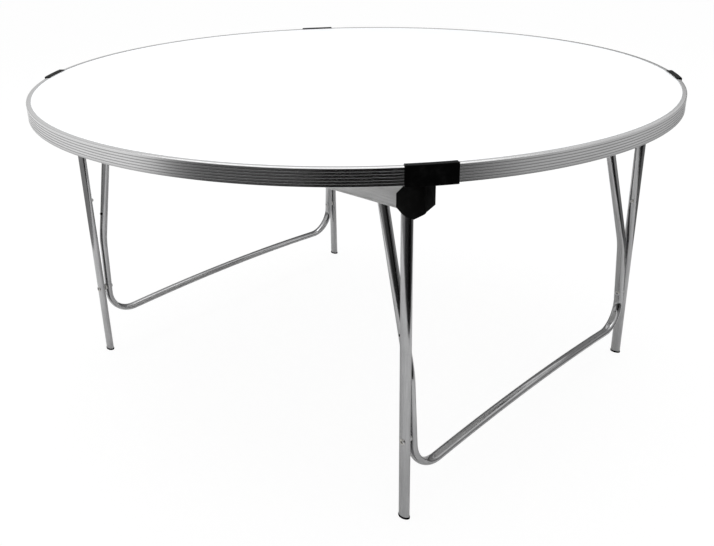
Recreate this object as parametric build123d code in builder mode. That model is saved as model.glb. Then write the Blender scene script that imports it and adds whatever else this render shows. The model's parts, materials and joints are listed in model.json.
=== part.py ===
from build123d import *

import os
from math import cos, degrees, radians, sin, sqrt, tan

# A round folding table: a fluted aluminium rim round a laminated board, with two leg frames
# that fold flat under it. Millimetres, +Z up, origin on the floor under the middle of the top.
# +X is the side where the right hand leg frame stands, and -Y is the front.

# Overall size
TABLE_DIAMETER = 1520.0
TABLE_HEIGHT = 765.0

# Fluted rim section
RIM_DEPTH = 33.5
RIM_WALL = 2.5
RIM_LIP_WIDTH = 10.0
RIM_LIP_THICKNESS = 1.2
RIM_SHELF_WIDTH = 12.0
RIM_SHELF_THICKNESS = 1.5
RIM_RETURN_WIDTH = 4.0
RIM_RETURN_THICKNESS = 1.5
RIM_EDGE_RADIUS = 0.5
RIM_TOP_RADIUS = 2.5
FLUTE_COUNT = 5
FLUTE_PITCH = 5.2
FLUTE_WIDTH = 2.0
FLUTE_DEPTH = 0.8
RIM_JOINT_GAP = 0.5

# Board
LAMINATE_THICKNESS = 0.8
CORE_THICKNESS = 19.0
BALANCER_THICKNESS = 0.8
BOARD_EDGE_CLEARANCE = 0.3
BOARD_SEAT_CLEARANCE = 0.05

# Black clips over the joints of the rim
CLIP_ANGLE = 38.0
CLIP_LENGTH = 93.0
CLIP_WALL = 3.2
CLIP_TOP_THICKNESS = 2.0
CLIP_BOTTOM_THICKNESS = 2.2
CLIP_COVER_WIDTH = 10.5
CLIP_RETURN_WIDTH = 3.0
CLIP_GAP = 0.1
CLIP_EDGE_RADIUS = 1.2

# Oval steel tube
LEG_TUBE_LONG = 26.0
LEG_TUBE_SHORT = 16.0
BRACE_TUBE_LONG = 24.5
BRACE_TUBE_SHORT = 16.0
TUBE_WALL = 1.5

# Legs
LEG_RIM_INSET = 54.5
LEG_ANGLE = 40.37
LEG_TOP_CLEARANCE = 0.3
RIVET_HEIGHT = 188.0

# Bent brace that joins the two legs of a frame
CROSSBAR_HEIGHT = 109.0
CROSSBAR_ARCH_ANGLE = 3.1
CROSSBAR_RUN_OUT = 5.0
BRACE_CORNER_RADIUS = 72.0
BRACE_KNEE_HEIGHT = 327.5
BRACE_KNEE_RADIUS = 250.0
BRACE_LOWER_LEAN = 3.25
BRACE_LEG_GAP = 6.0
BRACE_NARROWING = 13.0
BRACE_PIVOT_SETBACK = 94.5
BRACE_PIVOT_DROP = 66.0
BRACE_END_PAST_PIVOT = 12.0

# Rivets, pins and bushes
RIVET_RADIUS = 4.0
PIN_RADIUS = 4.0
RUNNING_CLEARANCE = 0.05
RIVET_HEAD_RADIUS = 6.5
RIVET_HEAD_THICKNESS = 1.8
HEAD_CLEARANCE = 0.1
SPACER_RADIUS = 8.0
BUSH_WALL = 1.5
WASHER_RADIUS = 9.0

# Caps in the tube ends
FOOT_SOLE_THICKNESS = 4.5
FOOT_OVERHANG = 0.9
FOOT_EDGE_RADIUS = 1.2
PLUG_DEPTH = 22.0
PLUG_CLEARANCE = 0.1
SHOE_THICKNESS = 4.5
SHOE_EDGE_RADIUS = 1.5

# Small studs that keep the tubes from rattling: steel on the leg and rubber on the brace
LEG_BUTTON_RADIUS = 4.5
LEG_BUTTON_PROJECTION = 5.5
LEG_BUTTON_HEIGHT = 440.0
BRACE_BUTTON_RADIUS = 3.5
BRACE_BUTTON_PROJECTION = 3.5
BRACE_BUTTON_HEIGHT = 406.0

# Side rails under the board
RAIL_THICKNESS = 2.0
RAIL_DEPTH = 70.0
RAIL_FLANGE_WIDTH = 22.0
RAIL_LEG_CLEARANCE = 2.5
RAIL_BEAD_WIDTH = 1.5
RAIL_BEAD_HEIGHT = 2.5

# Moulded sockets that hold the tops of the legs
SOCKET_CHEEK = 3.5
SOCKET_ROOF = 5.0
SOCKET_LEG_CLEARANCE = 0.6
SOCKET_SIDE_CLEARANCE = 1.0
SOCKET_RIM_CLEARANCE = 0.5
SOCKET_MOUTH_SETBACK = 12.0
SOCKET_DEPTH = 79.0
SOCKET_END_DEPTH = 62.0
SOCKET_HEEL_CHAMFER = 4.0
SOCKET_SLOPE_RUN = 24.0
SOCKET_LIP_RUN = 21.5
SOCKET_LIP_RISE = 1.0
SOCKET_CHIN_RUN = 12.0
SOCKET_CHIN_RISE = 5.0
SOCKET_MOUTH_RISE = 13.5
SOCKET_THROAT_DEPTH = 40.0
SOCKET_THROAT_TOP = 25.0
SOCKET_THROAT_RUN = 14.5
SOCKET_STOP_TOE_RISE = 1.0
SOCKET_STOP_OUTER_INSET = 1.0
SOCKET_STOP_INNER_INSET = 8.0
SOCKET_INNER_RISE = 20.0
SOCKET_EAR_WIDTH = 20.0
SOCKET_EAR_THICKNESS = 5.0
SOCKET_EAR_LENGTH = 34.0
SOCKET_EDGE_RADIUS = 1.5

# Steel brackets that carry the brace pivots
BRACKET_THICKNESS = 3.0
BRACKET_WIDTH = 50.0
BRACKET_FLANGE_WIDTH = 34.0
BRACKET_PLATE_GAP = 1.5
BRACKET_END_RADIUS = 14.0

# Screws into the board
SCREW_RADIUS = 2.0
SCREW_HOLE_CLEARANCE = 0.1
SCREW_HEAD_RADIUS = 4.0
SCREW_HEAD_THICKNESS = 2.0
SCREW_GRIP = 12.0
SCREW_HOLE_SPARE = 1.0
SCREW_EDGE_MARGIN = 2.0
RAIL_SCREW_COUNT = 5
RAIL_SCREW_END_INSET = 50.5
BRACKET_SCREW_SPACING = 30.0
SOCKET_SCREW_SPACING = 18.0

# Levels and radii that follow from the sizes above
RIM_RADIUS = TABLE_DIAMETER / 2
RIM_BOTTOM = TABLE_HEIGHT - RIM_DEPTH
LAMINATE_TOP = TABLE_HEIGHT - RIM_LIP_THICKNESS - BOARD_SEAT_CLEARANCE
CORE_TOP = LAMINATE_TOP - LAMINATE_THICKNESS
CORE_BOTTOM = CORE_TOP - CORE_THICKNESS
UNDERSIDE = CORE_BOTTOM - BALANCER_THICKNESS
BOARD_RADIUS = RIM_RADIUS - RIM_WALL - BOARD_EDGE_CLEARANCE
LEG_X = (RIM_RADIUS - LEG_RIM_INSET) * cos(radians(LEG_ANGLE))
LEG_Y = (RIM_RADIUS - LEG_RIM_INSET) * sin(radians(LEG_ANGLE))
LEG_INNER_Y = LEG_Y - LEG_TUBE_SHORT / 2
LEG_OUTER_Y = LEG_Y + LEG_TUBE_SHORT / 2
ARM_OUTER_Y = LEG_INNER_Y - BRACE_LEG_GAP
BRACE_ARM_Y = ARM_OUTER_Y - BRACE_TUBE_SHORT / 2
BRACE_TOP_Y = BRACE_ARM_Y - BRACE_NARROWING
ARM_INNER_Y = BRACE_ARM_Y - BRACE_TUBE_SHORT / 2
BRACE_PIVOT_X = LEG_X - BRACE_PIVOT_SETBACK
PIVOT_Z = TABLE_HEIGHT - BRACE_PIVOT_DROP
TOP_INNER_Y = BRACE_TOP_Y - BRACE_TUBE_SHORT / 2
TOP_OUTER_Y = BRACE_TOP_Y + BRACE_TUBE_SHORT / 2
ARM_SPLAY = (BRACE_ARM_Y - BRACE_TOP_Y) / (PIVOT_Z - BRACE_KNEE_HEIGHT)
LOWER_SLOPE = tan(radians(BRACE_LOWER_LEAN))
ARCH_SLOPE = tan(radians(CROSSBAR_ARCH_ANGLE))
CORNER_REACH = BRACE_CORNER_RADIUS * tan(radians(90 + CROSSBAR_ARCH_ANGLE) / 2)
ARCH_RADIUS = (BRACE_ARM_Y - CORNER_REACH - CROSSBAR_RUN_OUT) / ARCH_SLOPE
ARCH_CROWN_Z = CROSSBAR_HEIGHT + ARCH_RADIUS * (1 / cos(radians(CROSSBAR_ARCH_ANGLE)) - 1)
CROSSBAR_END_Z = ARCH_CROWN_Z - BRACE_ARM_Y * ARCH_SLOPE
CROSSBAR_X = LEG_X + LOWER_SLOPE * (RIVET_HEIGHT - CROSSBAR_END_Z)
KNEE_X = LEG_X - LOWER_SLOPE * (BRACE_KNEE_HEIGHT - RIVET_HEIGHT)
RAIL_WEB_Y = LEG_OUTER_Y + RAIL_LEG_CLEARANCE
RAIL_OUTER_Y = RAIL_WEB_Y + RAIL_THICKNESS
RAIL_FLANGE_Y = RAIL_OUTER_Y - RAIL_FLANGE_WIDTH
SOCKET_MOUTH_X = LEG_X - SOCKET_MOUTH_SETBACK
SOCKET_STOP_X = LEG_X + LEG_TUBE_LONG / 2 + SOCKET_LEG_CLEARANCE
RAIL_HALF_LENGTH = SOCKET_STOP_X - SOCKET_LEG_CLEARANCE
RAIL_SCREW_SPACING = 2 * (RAIL_HALF_LENGTH - RAIL_SCREW_END_INSET) / (RAIL_SCREW_COUNT - 1)
SOCKET_OUTER_Y = RAIL_OUTER_Y + SOCKET_CHEEK
SOCKET_END_RADIUS = RIM_RADIUS - RIM_RETURN_WIDTH - SOCKET_RIM_CLEARANCE
SOCKET_END_X = sqrt(SOCKET_END_RADIUS**2 - SOCKET_OUTER_Y**2)
SOCKET_POCKET_Y = LEG_INNER_Y - SOCKET_SIDE_CLEARANCE
SOCKET_INNER_Y = SOCKET_POCKET_Y - SOCKET_CHEEK
ROOF_TOP = UNDERSIDE - RAIL_THICKNESS
ROOF_BOTTOM = ROOF_TOP - SOCKET_ROOF
LEG_SHOE_TOP = ROOF_BOTTOM - LEG_TOP_CLEARANCE
LEG_TUBE_TOP = LEG_SHOE_TOP - SHOE_THICKNESS
BRACKET_INNER_Y = TOP_OUTER_Y + BRACKET_PLATE_GAP
BRACKET_OUTER_Y = BRACKET_INNER_Y + BRACKET_THICKNESS
BRACKET_SCREW_Y = BRACKET_OUTER_Y - BRACKET_FLANGE_WIDTH + SCREW_HEAD_RADIUS + SCREW_EDGE_MARGIN
EAR_MIDDLE_X = SOCKET_END_X - SOCKET_EAR_LENGTH / 2
EAR_MIDDLE_Y = SOCKET_INNER_Y - SOCKET_EAR_WIDTH / 2

SIDES = {"right": 1, "left": -1}
ENDS = {"front": -1, "back": 1}

os.makedirs("parts", exist_ok=True)


def save(piece, label):
    """Name a finished piece and write it."""
    piece.label = label
    export_step(piece, f"parts/{label}.step")


def at_corner(piece, side, end):
    """Mirror a piece that is drawn at the right back corner to another corner."""
    if SIDES[side] < 0:
        piece = mirror(piece, about=Plane.YZ)
    if ENDS[end] < 0:
        piece = mirror(piece, about=Plane.XZ)
    return piece


def upright_plane(y):
    """A plane facing the front at one distance back, with X to the right and Z up."""
    return Plane.XZ.offset(-y)


def radial_plane(angle):
    """An upright plane through the middle of the table, with X outwards at an angle."""
    outwards = Vector(cos(radians(angle)), sin(radians(angle)), 0)
    return Plane(origin=(0, 0, 0), x_dir=outwards, z_dir=outwards.cross(Vector(0, 0, 1)))


# Screws: where each group enters the underside of the board, at the right back corner or rail
def rail_screw_points():
    """Screw places along the flange of the back rail."""
    middle = (RAIL_SCREW_COUNT - 1) / 2
    line_y = (RAIL_FLANGE_Y + RAIL_WEB_Y) / 2
    return [((index - middle) * RAIL_SCREW_SPACING, line_y) for index in range(RAIL_SCREW_COUNT)]


def pair_points(middle_x, y, spacing):
    """Two screw places beside each other."""
    return [(middle_x - spacing / 2, y), (middle_x + spacing / 2, y)]


BRACKET_SCREWS = pair_points(BRACE_PIVOT_X, BRACKET_SCREW_Y, BRACKET_SCREW_SPACING)
SOCKET_SCREWS = pair_points(EAR_MIDDLE_X, EAR_MIDDLE_Y, SOCKET_SCREW_SPACING)


def mirrored_points(points):
    """Every corner's copy of the points of the right back corner."""
    corners = [(side, end) for side in SIDES.values() for end in ENDS.values()]
    return sorted({(x * side, y * end) for x, y in points for side, end in corners})


ALL_SCREWS = mirrored_points(rail_screw_points() + BRACKET_SCREWS + SOCKET_SCREWS)


def make_screws(points, seat):
    """Pan head screws from below, each a separate solid, with their heads under a seat."""
    with BuildPart() as screws:
        for x, y in points:
            with BuildSketch(Plane(origin=(x, y, 0), x_dir=(1, 0, 0), z_dir=(0, -1, 0))):
                with BuildLine():
                    head_bottom = seat - SCREW_HEAD_THICKNESS
                    Polyline(
                        (0, head_bottom),
                        (SCREW_HEAD_RADIUS / 2, head_bottom),
                        (SCREW_HEAD_RADIUS, seat - SCREW_HEAD_THICKNESS / 2),
                        (SCREW_HEAD_RADIUS, seat),
                        (SCREW_RADIUS, seat),
                        (SCREW_RADIUS, CORE_BOTTOM + SCREW_GRIP - SCREW_RADIUS),
                        (0, CORE_BOTTOM + SCREW_GRIP),
                        close=True,
                    )
                make_face()
            revolve(axis=Axis((x, y, 0), (0, 0, 1)))
    return screws.part


# The board: core, laminate on top and balancing sheet below
def make_disc(bottom, thickness, hole_depth):
    """One round layer of the board, with screw holes from below."""
    with BuildPart() as disc:
        with BuildSketch(Plane.XY.offset(bottom)):
            Circle(BOARD_RADIUS)
        extrude(amount=thickness)
        if hole_depth:
            with BuildSketch(Plane.XY.offset(bottom)):
                with Locations(*ALL_SCREWS):
                    Circle(SCREW_RADIUS + SCREW_HOLE_CLEARANCE)
            extrude(amount=hole_depth, mode=Mode.SUBTRACT)
    return disc.part


save(make_disc(CORE_BOTTOM, CORE_THICKNESS, SCREW_GRIP + SCREW_HOLE_SPARE), "top_core")
save(make_disc(CORE_TOP, LAMINATE_THICKNESS, 0), "top_laminate")
save(make_disc(UNDERSIDE, BALANCER_THICKNESS, BALANCER_THICKNESS), "underside_sheet")


# The rim: four bent lengths of one fluted extrusion, which meet under the clips
def make_rim(start, sweep_angle):
    """One bent length of rim from a start angle."""
    shelf_top = UNDERSIDE - BOARD_SEAT_CLEARANCE
    shelf_bottom = shelf_top - RIM_SHELF_THICKNESS
    lip_bottom = TABLE_HEIGHT - RIM_LIP_THICKNESS
    return_top = RIM_BOTTOM + RIM_RETURN_THICKNESS
    with BuildPart() as rim:
        with BuildSketch(radial_plane(start)) as section:
            with BuildLine():
                Polyline(
                    (RIM_RADIUS - RIM_LIP_WIDTH, TABLE_HEIGHT),
                    (RIM_RADIUS, TABLE_HEIGHT),
                    (RIM_RADIUS, RIM_BOTTOM),
                    (RIM_RADIUS - RIM_RETURN_WIDTH, RIM_BOTTOM),
                    (RIM_RADIUS - RIM_RETURN_WIDTH, return_top),
                    (RIM_RADIUS - RIM_WALL, return_top),
                    (RIM_RADIUS - RIM_WALL, shelf_bottom),
                    (RIM_RADIUS - RIM_SHELF_WIDTH, shelf_bottom),
                    (RIM_RADIUS - RIM_SHELF_WIDTH, shelf_top),
                    (RIM_RADIUS - RIM_WALL, shelf_top),
                    (RIM_RADIUS - RIM_WALL, lip_bottom),
                    (RIM_RADIUS - RIM_LIP_WIDTH, lip_bottom),
                    close=True,
                )
            make_face()
            fillet(section.vertices().group_by(Axis.Y)[-1].sort_by(Axis.X)[-1], RIM_TOP_RADIUS)
            lip_corner = section.vertices().group_by(Axis.Y)[-1].sort_by(Axis.X)[0]
            lower_corner = section.vertices().group_by(Axis.Y)[0].sort_by(Axis.X)[-1]
            fillet([lip_corner, lower_corner], RIM_EDGE_RADIUS)
            with Locations((RIM_RADIUS, RIM_BOTTOM + RIM_DEPTH / 2)):
                with GridLocations(0, FLUTE_PITCH, 1, FLUTE_COUNT):
                    Rectangle(2 * FLUTE_DEPTH, FLUTE_WIDTH, mode=Mode.SUBTRACT)
        revolve(axis=Axis.Z, revolution_arc=sweep_angle)
    return rim.part


JOINT_TURN = degrees(RIM_JOINT_GAP / 2 / RIM_RADIUS)
SHORT_ARC = 2 * (CLIP_ANGLE - JOINT_TURN)
LONG_ARC = 2 * (90 - CLIP_ANGLE - JOINT_TURN)
save(make_rim(-CLIP_ANGLE + JOINT_TURN, SHORT_ARC), "rim_right")
save(make_rim(CLIP_ANGLE + JOINT_TURN, LONG_ARC), "rim_back")
save(make_rim(180 - CLIP_ANGLE + JOINT_TURN, SHORT_ARC), "rim_left")
save(make_rim(180 + CLIP_ANGLE + JOINT_TURN, LONG_ARC), "rim_front")


# The clips: black covers that grip the rim over each joint
CLIP_TURN = degrees(CLIP_LENGTH / RIM_RADIUS)
with BuildPart() as clip:
    with BuildSketch(radial_plane(CLIP_ANGLE - CLIP_TURN / 2)):
        with BuildLine():
            clip_outer = RIM_RADIUS + CLIP_WALL
            clip_top = TABLE_HEIGHT + CLIP_GAP + CLIP_TOP_THICKNESS
            clip_bottom = RIM_BOTTOM - CLIP_GAP - CLIP_BOTTOM_THICKNESS
            Polyline(
                (RIM_RADIUS - CLIP_COVER_WIDTH, clip_top),
                (clip_outer, clip_top),
                (clip_outer, clip_bottom),
                (RIM_RADIUS - CLIP_RETURN_WIDTH, clip_bottom),
                (RIM_RADIUS - CLIP_RETURN_WIDTH, RIM_BOTTOM - CLIP_GAP),
                (RIM_RADIUS + CLIP_GAP, RIM_BOTTOM - CLIP_GAP),
                (RIM_RADIUS + CLIP_GAP, TABLE_HEIGHT + CLIP_GAP),
                (RIM_RADIUS - CLIP_COVER_WIDTH, TABLE_HEIGHT + CLIP_GAP),
                close=True,
            )
        make_face()
    revolve(axis=Axis.Z, revolution_arc=CLIP_TURN)
    fillet(clip.edges().group_by(Axis.Z)[-1], CLIP_EDGE_RADIUS)


# The side rails: aluminium angles that stiffen the board and hide the folded legs
with BuildPart() as rail:
    with BuildSketch(Plane.YZ.offset(-RAIL_HALF_LENGTH)):
        with BuildLine():
            Polyline(
                (RAIL_FLANGE_Y, UNDERSIDE),
                (RAIL_OUTER_Y, UNDERSIDE),
                (RAIL_OUTER_Y, UNDERSIDE - RAIL_DEPTH),
                (RAIL_WEB_Y, UNDERSIDE - RAIL_DEPTH),
                (RAIL_WEB_Y, UNDERSIDE - RAIL_THICKNESS),
                (RAIL_FLANGE_Y, UNDERSIDE - RAIL_THICKNESS),
                close=True,
            )
        make_face()
    extrude(amount=2 * RAIL_HALF_LENGTH)
    bead_length = 2 * (SOCKET_MOUTH_X - SOCKET_LEG_CLEARANCE)
    bead_align = (Align.CENTER, Align.MIN, Align.MIN)
    with Locations((0, RAIL_OUTER_Y, UNDERSIDE - RAIL_DEPTH)):
        Box(bead_length, RAIL_BEAD_WIDTH, RAIL_BEAD_HEIGHT, align=bead_align)
    with BuildSketch(Plane.XY.offset(UNDERSIDE)):
        with Locations(*rail_screw_points()):
            Circle(SCREW_RADIUS + SCREW_HOLE_CLEARANCE)
    extrude(amount=-RAIL_THICKNESS, mode=Mode.SUBTRACT)

for end_name in ENDS:
    save(at_corner(rail.part, "right", end_name), f"side_rail_{end_name}")


# The sockets: black mouldings with an outer cheek, an inner cheek, a roof and a solid stop
# Their outlines are (distance to the right, depth below the roof's top).
CHEEK_OUTLINE = [
    (SOCKET_END_X, 0),
    (SOCKET_END_X, SOCKET_END_DEPTH),
    (SOCKET_END_X - SOCKET_HEEL_CHAMFER, SOCKET_END_DEPTH + SOCKET_HEEL_CHAMFER),
    (SOCKET_END_X - SOCKET_SLOPE_RUN, SOCKET_DEPTH),
    (SOCKET_MOUTH_X + SOCKET_LIP_RUN, SOCKET_DEPTH - SOCKET_LIP_RISE),
    (SOCKET_MOUTH_X + SOCKET_CHIN_RUN, SOCKET_DEPTH - SOCKET_CHIN_RISE),
    (SOCKET_MOUTH_X, SOCKET_DEPTH - SOCKET_MOUTH_RISE),
    (SOCKET_MOUTH_X, SOCKET_THROAT_DEPTH),
    (SOCKET_MOUTH_X + SOCKET_THROAT_RUN, SOCKET_THROAT_TOP),
    (SOCKET_MOUTH_X + SOCKET_THROAT_RUN, 0),
]


def stop_outline(inset):
    """The stop's outline, with its lower edges raised by an inset."""
    return [
        (SOCKET_STOP_X, 0),
        (SOCKET_END_X, 0),
        (SOCKET_END_X, SOCKET_END_DEPTH - inset),
        (SOCKET_END_X - SOCKET_SLOPE_RUN, SOCKET_DEPTH - inset),
        (SOCKET_STOP_X, SOCKET_DEPTH - SOCKET_STOP_TOE_RISE - inset),
    ]


def drop_points(outline, start):
    """Turn depths below a level into heights."""
    return [(x, start - depth) for x, depth in outline]


with BuildPart() as socket:
    with BuildSketch(upright_plane(SOCKET_OUTER_Y)):
        with BuildLine():
            Polyline(*drop_points(CHEEK_OUTLINE, ROOF_TOP), close=True)
        make_face()
    extrude(amount=SOCKET_CHEEK)
    fillet(socket.edges().filter_by(Axis.Y), SOCKET_EDGE_RADIUS)
    for stop_y, inset in (
        (RAIL_OUTER_Y, SOCKET_STOP_OUTER_INSET),
        (SOCKET_INNER_Y, SOCKET_STOP_INNER_INSET),
    ):
        with BuildSketch(upright_plane(stop_y)):
            with BuildLine():
                Polyline(*drop_points(stop_outline(inset), ROOF_TOP), close=True)
            make_face()
    loft(ruled=True)
    with BuildSketch(Plane.XY.offset(ROOF_BOTTOM)):
        with Locations((SOCKET_MOUTH_X, SOCKET_INNER_Y)):
            Rectangle(
                SOCKET_END_X - SOCKET_MOUTH_X,
                RAIL_WEB_Y - SOCKET_INNER_Y,
                align=(Align.MIN, Align.MIN),
            )
    extrude(amount=SOCKET_ROOF)
    with BuildSketch(upright_plane(SOCKET_POCKET_Y)):
        with Locations((SOCKET_MOUTH_X, ROOF_BOTTOM)):
            Rectangle(
                SOCKET_STOP_X - SOCKET_MOUTH_X,
                SOCKET_DEPTH - SOCKET_ROOF - SOCKET_INNER_RISE,
                align=(Align.MIN, Align.MAX),
            )
    extrude(amount=SOCKET_CHEEK)
    with BuildSketch(Plane.XY.offset(UNDERSIDE)):
        with Locations((EAR_MIDDLE_X, EAR_MIDDLE_Y)):
            Rectangle(SOCKET_EAR_LENGTH, SOCKET_EAR_WIDTH)
    extrude(amount=-SOCKET_EAR_THICKNESS)
    with BuildSketch(Plane.XY.offset(UNDERSIDE)):
        with Locations(*SOCKET_SCREWS):
            Circle(SCREW_RADIUS + SCREW_HOLE_CLEARANCE)
    extrude(amount=-SOCKET_EAR_THICKNESS, mode=Mode.SUBTRACT)


# The brace brackets: steel angles with the pivot pin's hole
with BuildPart() as bracket:
    with BuildSketch(upright_plane(BRACKET_OUTER_Y)):
        with Locations((BRACE_PIVOT_X, UNDERSIDE)):
            Rectangle(BRACKET_WIDTH, UNDERSIDE - PIVOT_Z, align=(Align.CENTER, Align.MAX))
        with Locations((BRACE_PIVOT_X, PIVOT_Z)):
            Circle(BRACKET_END_RADIUS)
            Circle(PIN_RADIUS + RUNNING_CLEARANCE, mode=Mode.SUBTRACT)
    extrude(amount=BRACKET_THICKNESS)
    with BuildSketch(Plane.XY.offset(UNDERSIDE)):
        with Locations((BRACE_PIVOT_X, BRACKET_OUTER_Y)):
            Rectangle(BRACKET_WIDTH, BRACKET_FLANGE_WIDTH, align=(Align.CENTER, Align.MAX))
        with Locations(*BRACKET_SCREWS):
            Circle(SCREW_RADIUS + SCREW_HOLE_CLEARANCE, mode=Mode.SUBTRACT)
    extrude(amount=-BRACKET_THICKNESS)


def make_pin(x, z, spans):
    """A round pin along Y, from spans of (start, end, radius)."""
    with BuildPart() as pin:
        for start, stop, radius in spans:
            with BuildSketch(upright_plane(stop)):
                with Locations((x, z)):
                    Circle(radius)
            extrude(amount=stop - start)
    return pin.part


def make_ring(x, z, start, stop, outer, inner):
    """A plain ring round an axis along Y."""
    with BuildPart() as ring:
        with BuildSketch(upright_plane(stop)):
            with Locations((x, z)):
                Circle(outer)
                Circle(inner, mode=Mode.SUBTRACT)
        extrude(amount=stop - start)
    return ring.part


BUSH_START = TOP_INNER_Y - RIVET_HEAD_RADIUS * ARM_SPLAY
BUSH_STOP = TOP_OUTER_Y + WASHER_RADIUS * ARM_SPLAY
PIN_HEAD_Y = BUSH_START - HEAD_CLEARANCE
pivot_pin = make_pin(
    BRACE_PIVOT_X,
    PIVOT_Z,
    [
        (PIN_HEAD_Y - RIVET_HEAD_THICKNESS, PIN_HEAD_Y, RIVET_HEAD_RADIUS),
        (PIN_HEAD_Y, BRACKET_OUTER_Y, PIN_RADIUS),
        (BRACKET_OUTER_Y, BRACKET_OUTER_Y + RIVET_HEAD_THICKNESS, RIVET_HEAD_RADIUS),
    ],
)
BUSH_BORE = PIN_RADIUS + RUNNING_CLEARANCE
BUSH_OUTER = BUSH_BORE + BUSH_WALL
pivot_bush = make_ring(BRACE_PIVOT_X, PIVOT_Z, BUSH_START, BUSH_STOP, BUSH_OUTER, BUSH_BORE)
pivot_washer = make_ring(
    BRACE_PIVOT_X,
    PIVOT_Z,
    BUSH_STOP + HEAD_CLEARANCE,
    BRACKET_INNER_Y - HEAD_CLEARANCE,
    WASHER_RADIUS,
    BUSH_BORE,
)


# The leg rivets and the spacers between leg and brace
RIVET_START = ARM_INNER_Y - HEAD_CLEARANCE
RIVET_STOP = LEG_OUTER_Y + HEAD_CLEARANCE
leg_rivet = make_pin(
    LEG_X,
    RIVET_HEIGHT,
    [
        (RIVET_START - RIVET_HEAD_THICKNESS, RIVET_START, RIVET_HEAD_RADIUS),
        (RIVET_START, RIVET_STOP, RIVET_RADIUS),
        (RIVET_STOP, RIVET_STOP + RIVET_HEAD_THICKNESS, RIVET_HEAD_RADIUS),
    ],
)
rivet_spacer = make_ring(
    LEG_X,
    RIVET_HEIGHT,
    ARM_OUTER_Y + HEAD_CLEARANCE,
    LEG_INNER_Y - 2 * HEAD_CLEARANCE,
    SPACER_RADIUS,
    RIVET_RADIUS + RUNNING_CLEARANCE,
)


# The braces: one oval tube bent into a U, with a knee in each arm and a slightly arched crossbar
def brace_points():
    """Corners of the brace's centre line, from the front arm's end round to the back one."""
    pivot = Vector(BRACE_PIVOT_X, BRACE_TOP_Y, PIVOT_Z)
    knee = Vector(KNEE_X, BRACE_ARM_Y, BRACE_KNEE_HEIGHT)
    tube_end = pivot + (pivot - knee).normalized() * BRACE_END_PAST_PIVOT
    corner = Vector(CROSSBAR_X, BRACE_ARM_Y, CROSSBAR_END_Z)
    crown = Vector(CROSSBAR_X, 0, ARCH_CROWN_Z)
    back_arm = [corner, knee, tube_end]
    front_arm = [Vector(point.X, -point.Y, point.Z) for point in reversed(back_arm)]
    return front_arm + [crown] + back_arm


ARM_RADII = [BRACE_KNEE_RADIUS, BRACE_CORNER_RADIUS]
BRACE_RADII = ARM_RADII + [ARCH_RADIUS] + ARM_RADII[::-1]
with BuildPart() as brace:
    with BuildLine() as brace_path:
        FilletPolyline(*brace_points(), radius=BRACE_RADII)
    start_direction = brace_path.wire() % 0
    start_plane = Plane(
        origin=brace_path.wire() @ 0,
        x_dir=Vector(0, 1, 0).cross(start_direction),
        z_dir=start_direction,
    )
    with BuildSketch(start_plane):
        Ellipse(BRACE_TUBE_LONG / 2, BRACE_TUBE_SHORT / 2)
        Ellipse(BRACE_TUBE_LONG / 2 - TUBE_WALL, BRACE_TUBE_SHORT / 2 - TUBE_WALL, mode=Mode.SUBTRACT)
    sweep(path=brace_path.wire())
    for bore_x, bore_z, bore_radius in (
        (BRACE_PIVOT_X, PIVOT_Z, BUSH_OUTER),
        (LEG_X, RIVET_HEIGHT, RIVET_RADIUS + RUNNING_CLEARANCE),
    ):
        with BuildSketch(Plane.XZ):
            with Locations((bore_x, bore_z)):
                Circle(bore_radius)
        extrude(amount=LEG_Y, both=True, mode=Mode.SUBTRACT)


# The legs: straight oval tubes, with a plug and sole below and a plug and shoe above
with BuildPart() as leg:
    with BuildSketch(Plane.XY.offset(FOOT_SOLE_THICKNESS)):
        with Locations((LEG_X, LEG_Y)):
            Ellipse(LEG_TUBE_LONG / 2, LEG_TUBE_SHORT / 2)
            Ellipse(LEG_TUBE_LONG / 2 - TUBE_WALL, LEG_TUBE_SHORT / 2 - TUBE_WALL, mode=Mode.SUBTRACT)
    extrude(amount=LEG_TUBE_TOP - FOOT_SOLE_THICKNESS)
    with BuildSketch(upright_plane(LEG_OUTER_Y)):
        with Locations((LEG_X, RIVET_HEIGHT)):
            Circle(RIVET_RADIUS + RUNNING_CLEARANCE)
    extrude(amount=LEG_TUBE_SHORT, mode=Mode.SUBTRACT)


def make_cap(cap_start, cap_thickness, overhang, edge_radius, plug_direction):
    """A plastic end cap: an oval cap outside the tube and a plug inside it."""
    plug_long = LEG_TUBE_LONG / 2 - TUBE_WALL - PLUG_CLEARANCE
    plug_short = LEG_TUBE_SHORT / 2 - TUBE_WALL - PLUG_CLEARANCE
    with BuildPart() as cap:
        with BuildSketch(Plane.XY.offset(cap_start)):
            with Locations((LEG_X, LEG_Y)):
                Ellipse(LEG_TUBE_LONG / 2 + overhang, LEG_TUBE_SHORT / 2 + overhang)
        extrude(amount=-plug_direction * cap_thickness)
        outer_edge = cap.edges().sort_by(Axis.Z)[0 if plug_direction > 0 else -1]
        fillet(outer_edge, edge_radius)
        with BuildSketch(Plane.XY.offset(cap_start)):
            with Locations((LEG_X, LEG_Y)):
                Ellipse(plug_long, plug_short)
        extrude(amount=plug_direction * PLUG_DEPTH)
    return cap.part


foot_cap = make_cap(FOOT_SOLE_THICKNESS, FOOT_SOLE_THICKNESS, FOOT_OVERHANG, FOOT_EDGE_RADIUS, 1)
leg_shoe = make_cap(LEG_TUBE_TOP, SHOE_THICKNESS, 0, SHOE_EDGE_RADIUS, -1)


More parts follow.
